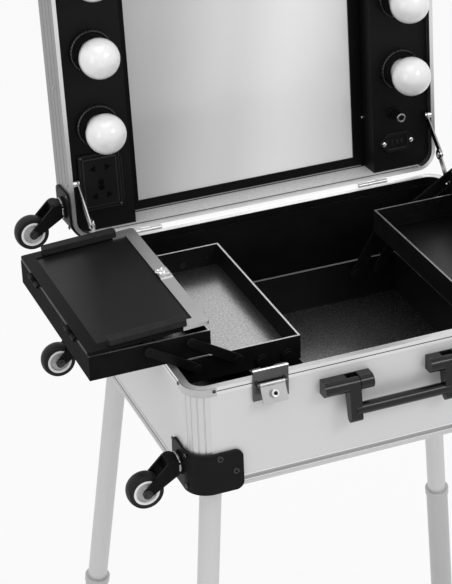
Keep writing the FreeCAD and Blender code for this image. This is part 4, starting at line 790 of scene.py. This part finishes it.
floor_mesh = bpy.data.meshes.new("floor")
floor_mesh.from_pydata([(-FLOOR_HALF, -FLOOR_HALF, 0), (FLOOR_HALF, -FLOOR_HALF, 0),
                        (FLOOR_HALF, FLOOR_HALF, 0), (-FLOOR_HALF, FLOOR_HALF, 0)], [], [(0, 1, 2, 3)])
floor = bpy.data.objects.new("floor", floor_mesh)
bpy.context.scene.collection.objects.link(floor)
floor_finish = surface("floor", FLOOR_LEVEL, FLOOR_ROUGH, mottle=0.004, patch=3.0)
floor_tree = floor_finish.node_tree
glow = add_node(floor_tree, "ShaderNodeEmission", Color=rgb(1.0), Strength=BACKGROUND)
blend = add_node(floor_tree, "ShaderNodeMixShader")
share = math_node(floor_tree, "MULTIPLY", seen_directly(floor_tree), FLOOR_GLOW)
floor_tree.links.new(share, blend.inputs[0])
floor_tree.links.new(floor_tree.nodes["Principled BSDF"].outputs[0], blend.inputs[1])
floor_tree.links.new(glow.outputs[0], blend.inputs[2])
floor_tree.links.new(blend.outputs[0], floor_tree.nodes["Material Output"].inputs["Surface"])
floor_mesh.materials.append(floor_finish)

world = bpy.data.worlds.new("studio")
world.use_nodes = True
sky = world.node_tree.nodes["Background"]
sky.inputs["Color"].default_value = rgb(1.0)
direct = seen_directly(world.node_tree)
strength = spread(world.node_tree, direct, WORLD_STRENGTH, BACKGROUND, 0.0, 1.0)
world.node_tree.links.new(strength, sky.inputs["Strength"])
bpy.context.scene.world = world


CASE_MIDDLE = Vector((0.0, 0.0, 0.85))


def soft_light(name, spot, width, height, power):
    """Area light that faces the case's middle, in metres and watts."""
    light = bpy.data.lights.new(name, "AREA")
    light.shape = "RECTANGLE"
    light.size = width
    light.size_y = height
    light.energy = power
    made = bpy.data.objects.new(name, light)
    made.location = spot
    made.rotation_mode = "QUATERNION"
    made.rotation_quaternion = (CASE_MIDDLE - Vector(spot)).to_track_quat("-Z", "Y")
    bpy.context.scene.collection.objects.link(made)


soft_light("key", (1.1, -2.1, 2.6), width=1.0, height=0.8, power=17.0)
soft_light("top", (-0.3, -0.2, 2.9), width=1.4, height=1.4, power=10.0)
soft_light("fill", (-2.3, -1.0, 1.6), width=0.8, height=1.4, power=6.0)

# Camera

camera_data = bpy.data.cameras.new("camera")
camera_data.sensor_fit = "HORIZONTAL"
camera_data.sensor_width = SENSOR_WIDTH
camera_data.lens = CAMERA_LENS
camera = bpy.data.objects.new("camera", camera_data)
forward = Vector((math.sin(CAMERA_AZIMUTH) * math.cos(CAMERA_DIP),
                  math.cos(CAMERA_AZIMUTH) * math.cos(CAMERA_DIP), -math.sin(CAMERA_DIP)))
level = forward.cross(Vector((0, 0, 1))).normalized()
upright = level.cross(forward)
right = level * math.cos(CAMERA_ROLL) + upright * math.sin(CAMERA_ROLL)
up = upright * math.cos(CAMERA_ROLL) - level * math.sin(CAMERA_ROLL)
camera_turn = Matrix((right, up, -forward)).transposed().to_4x4()
camera.matrix_world = Matrix.Translation(CAMERA_SPOT) @ camera_turn
bpy.context.scene.collection.objects.link(camera)
bpy.context.scene.camera = camera

bpy.context.scene.view_settings.view_transform = "Standard"
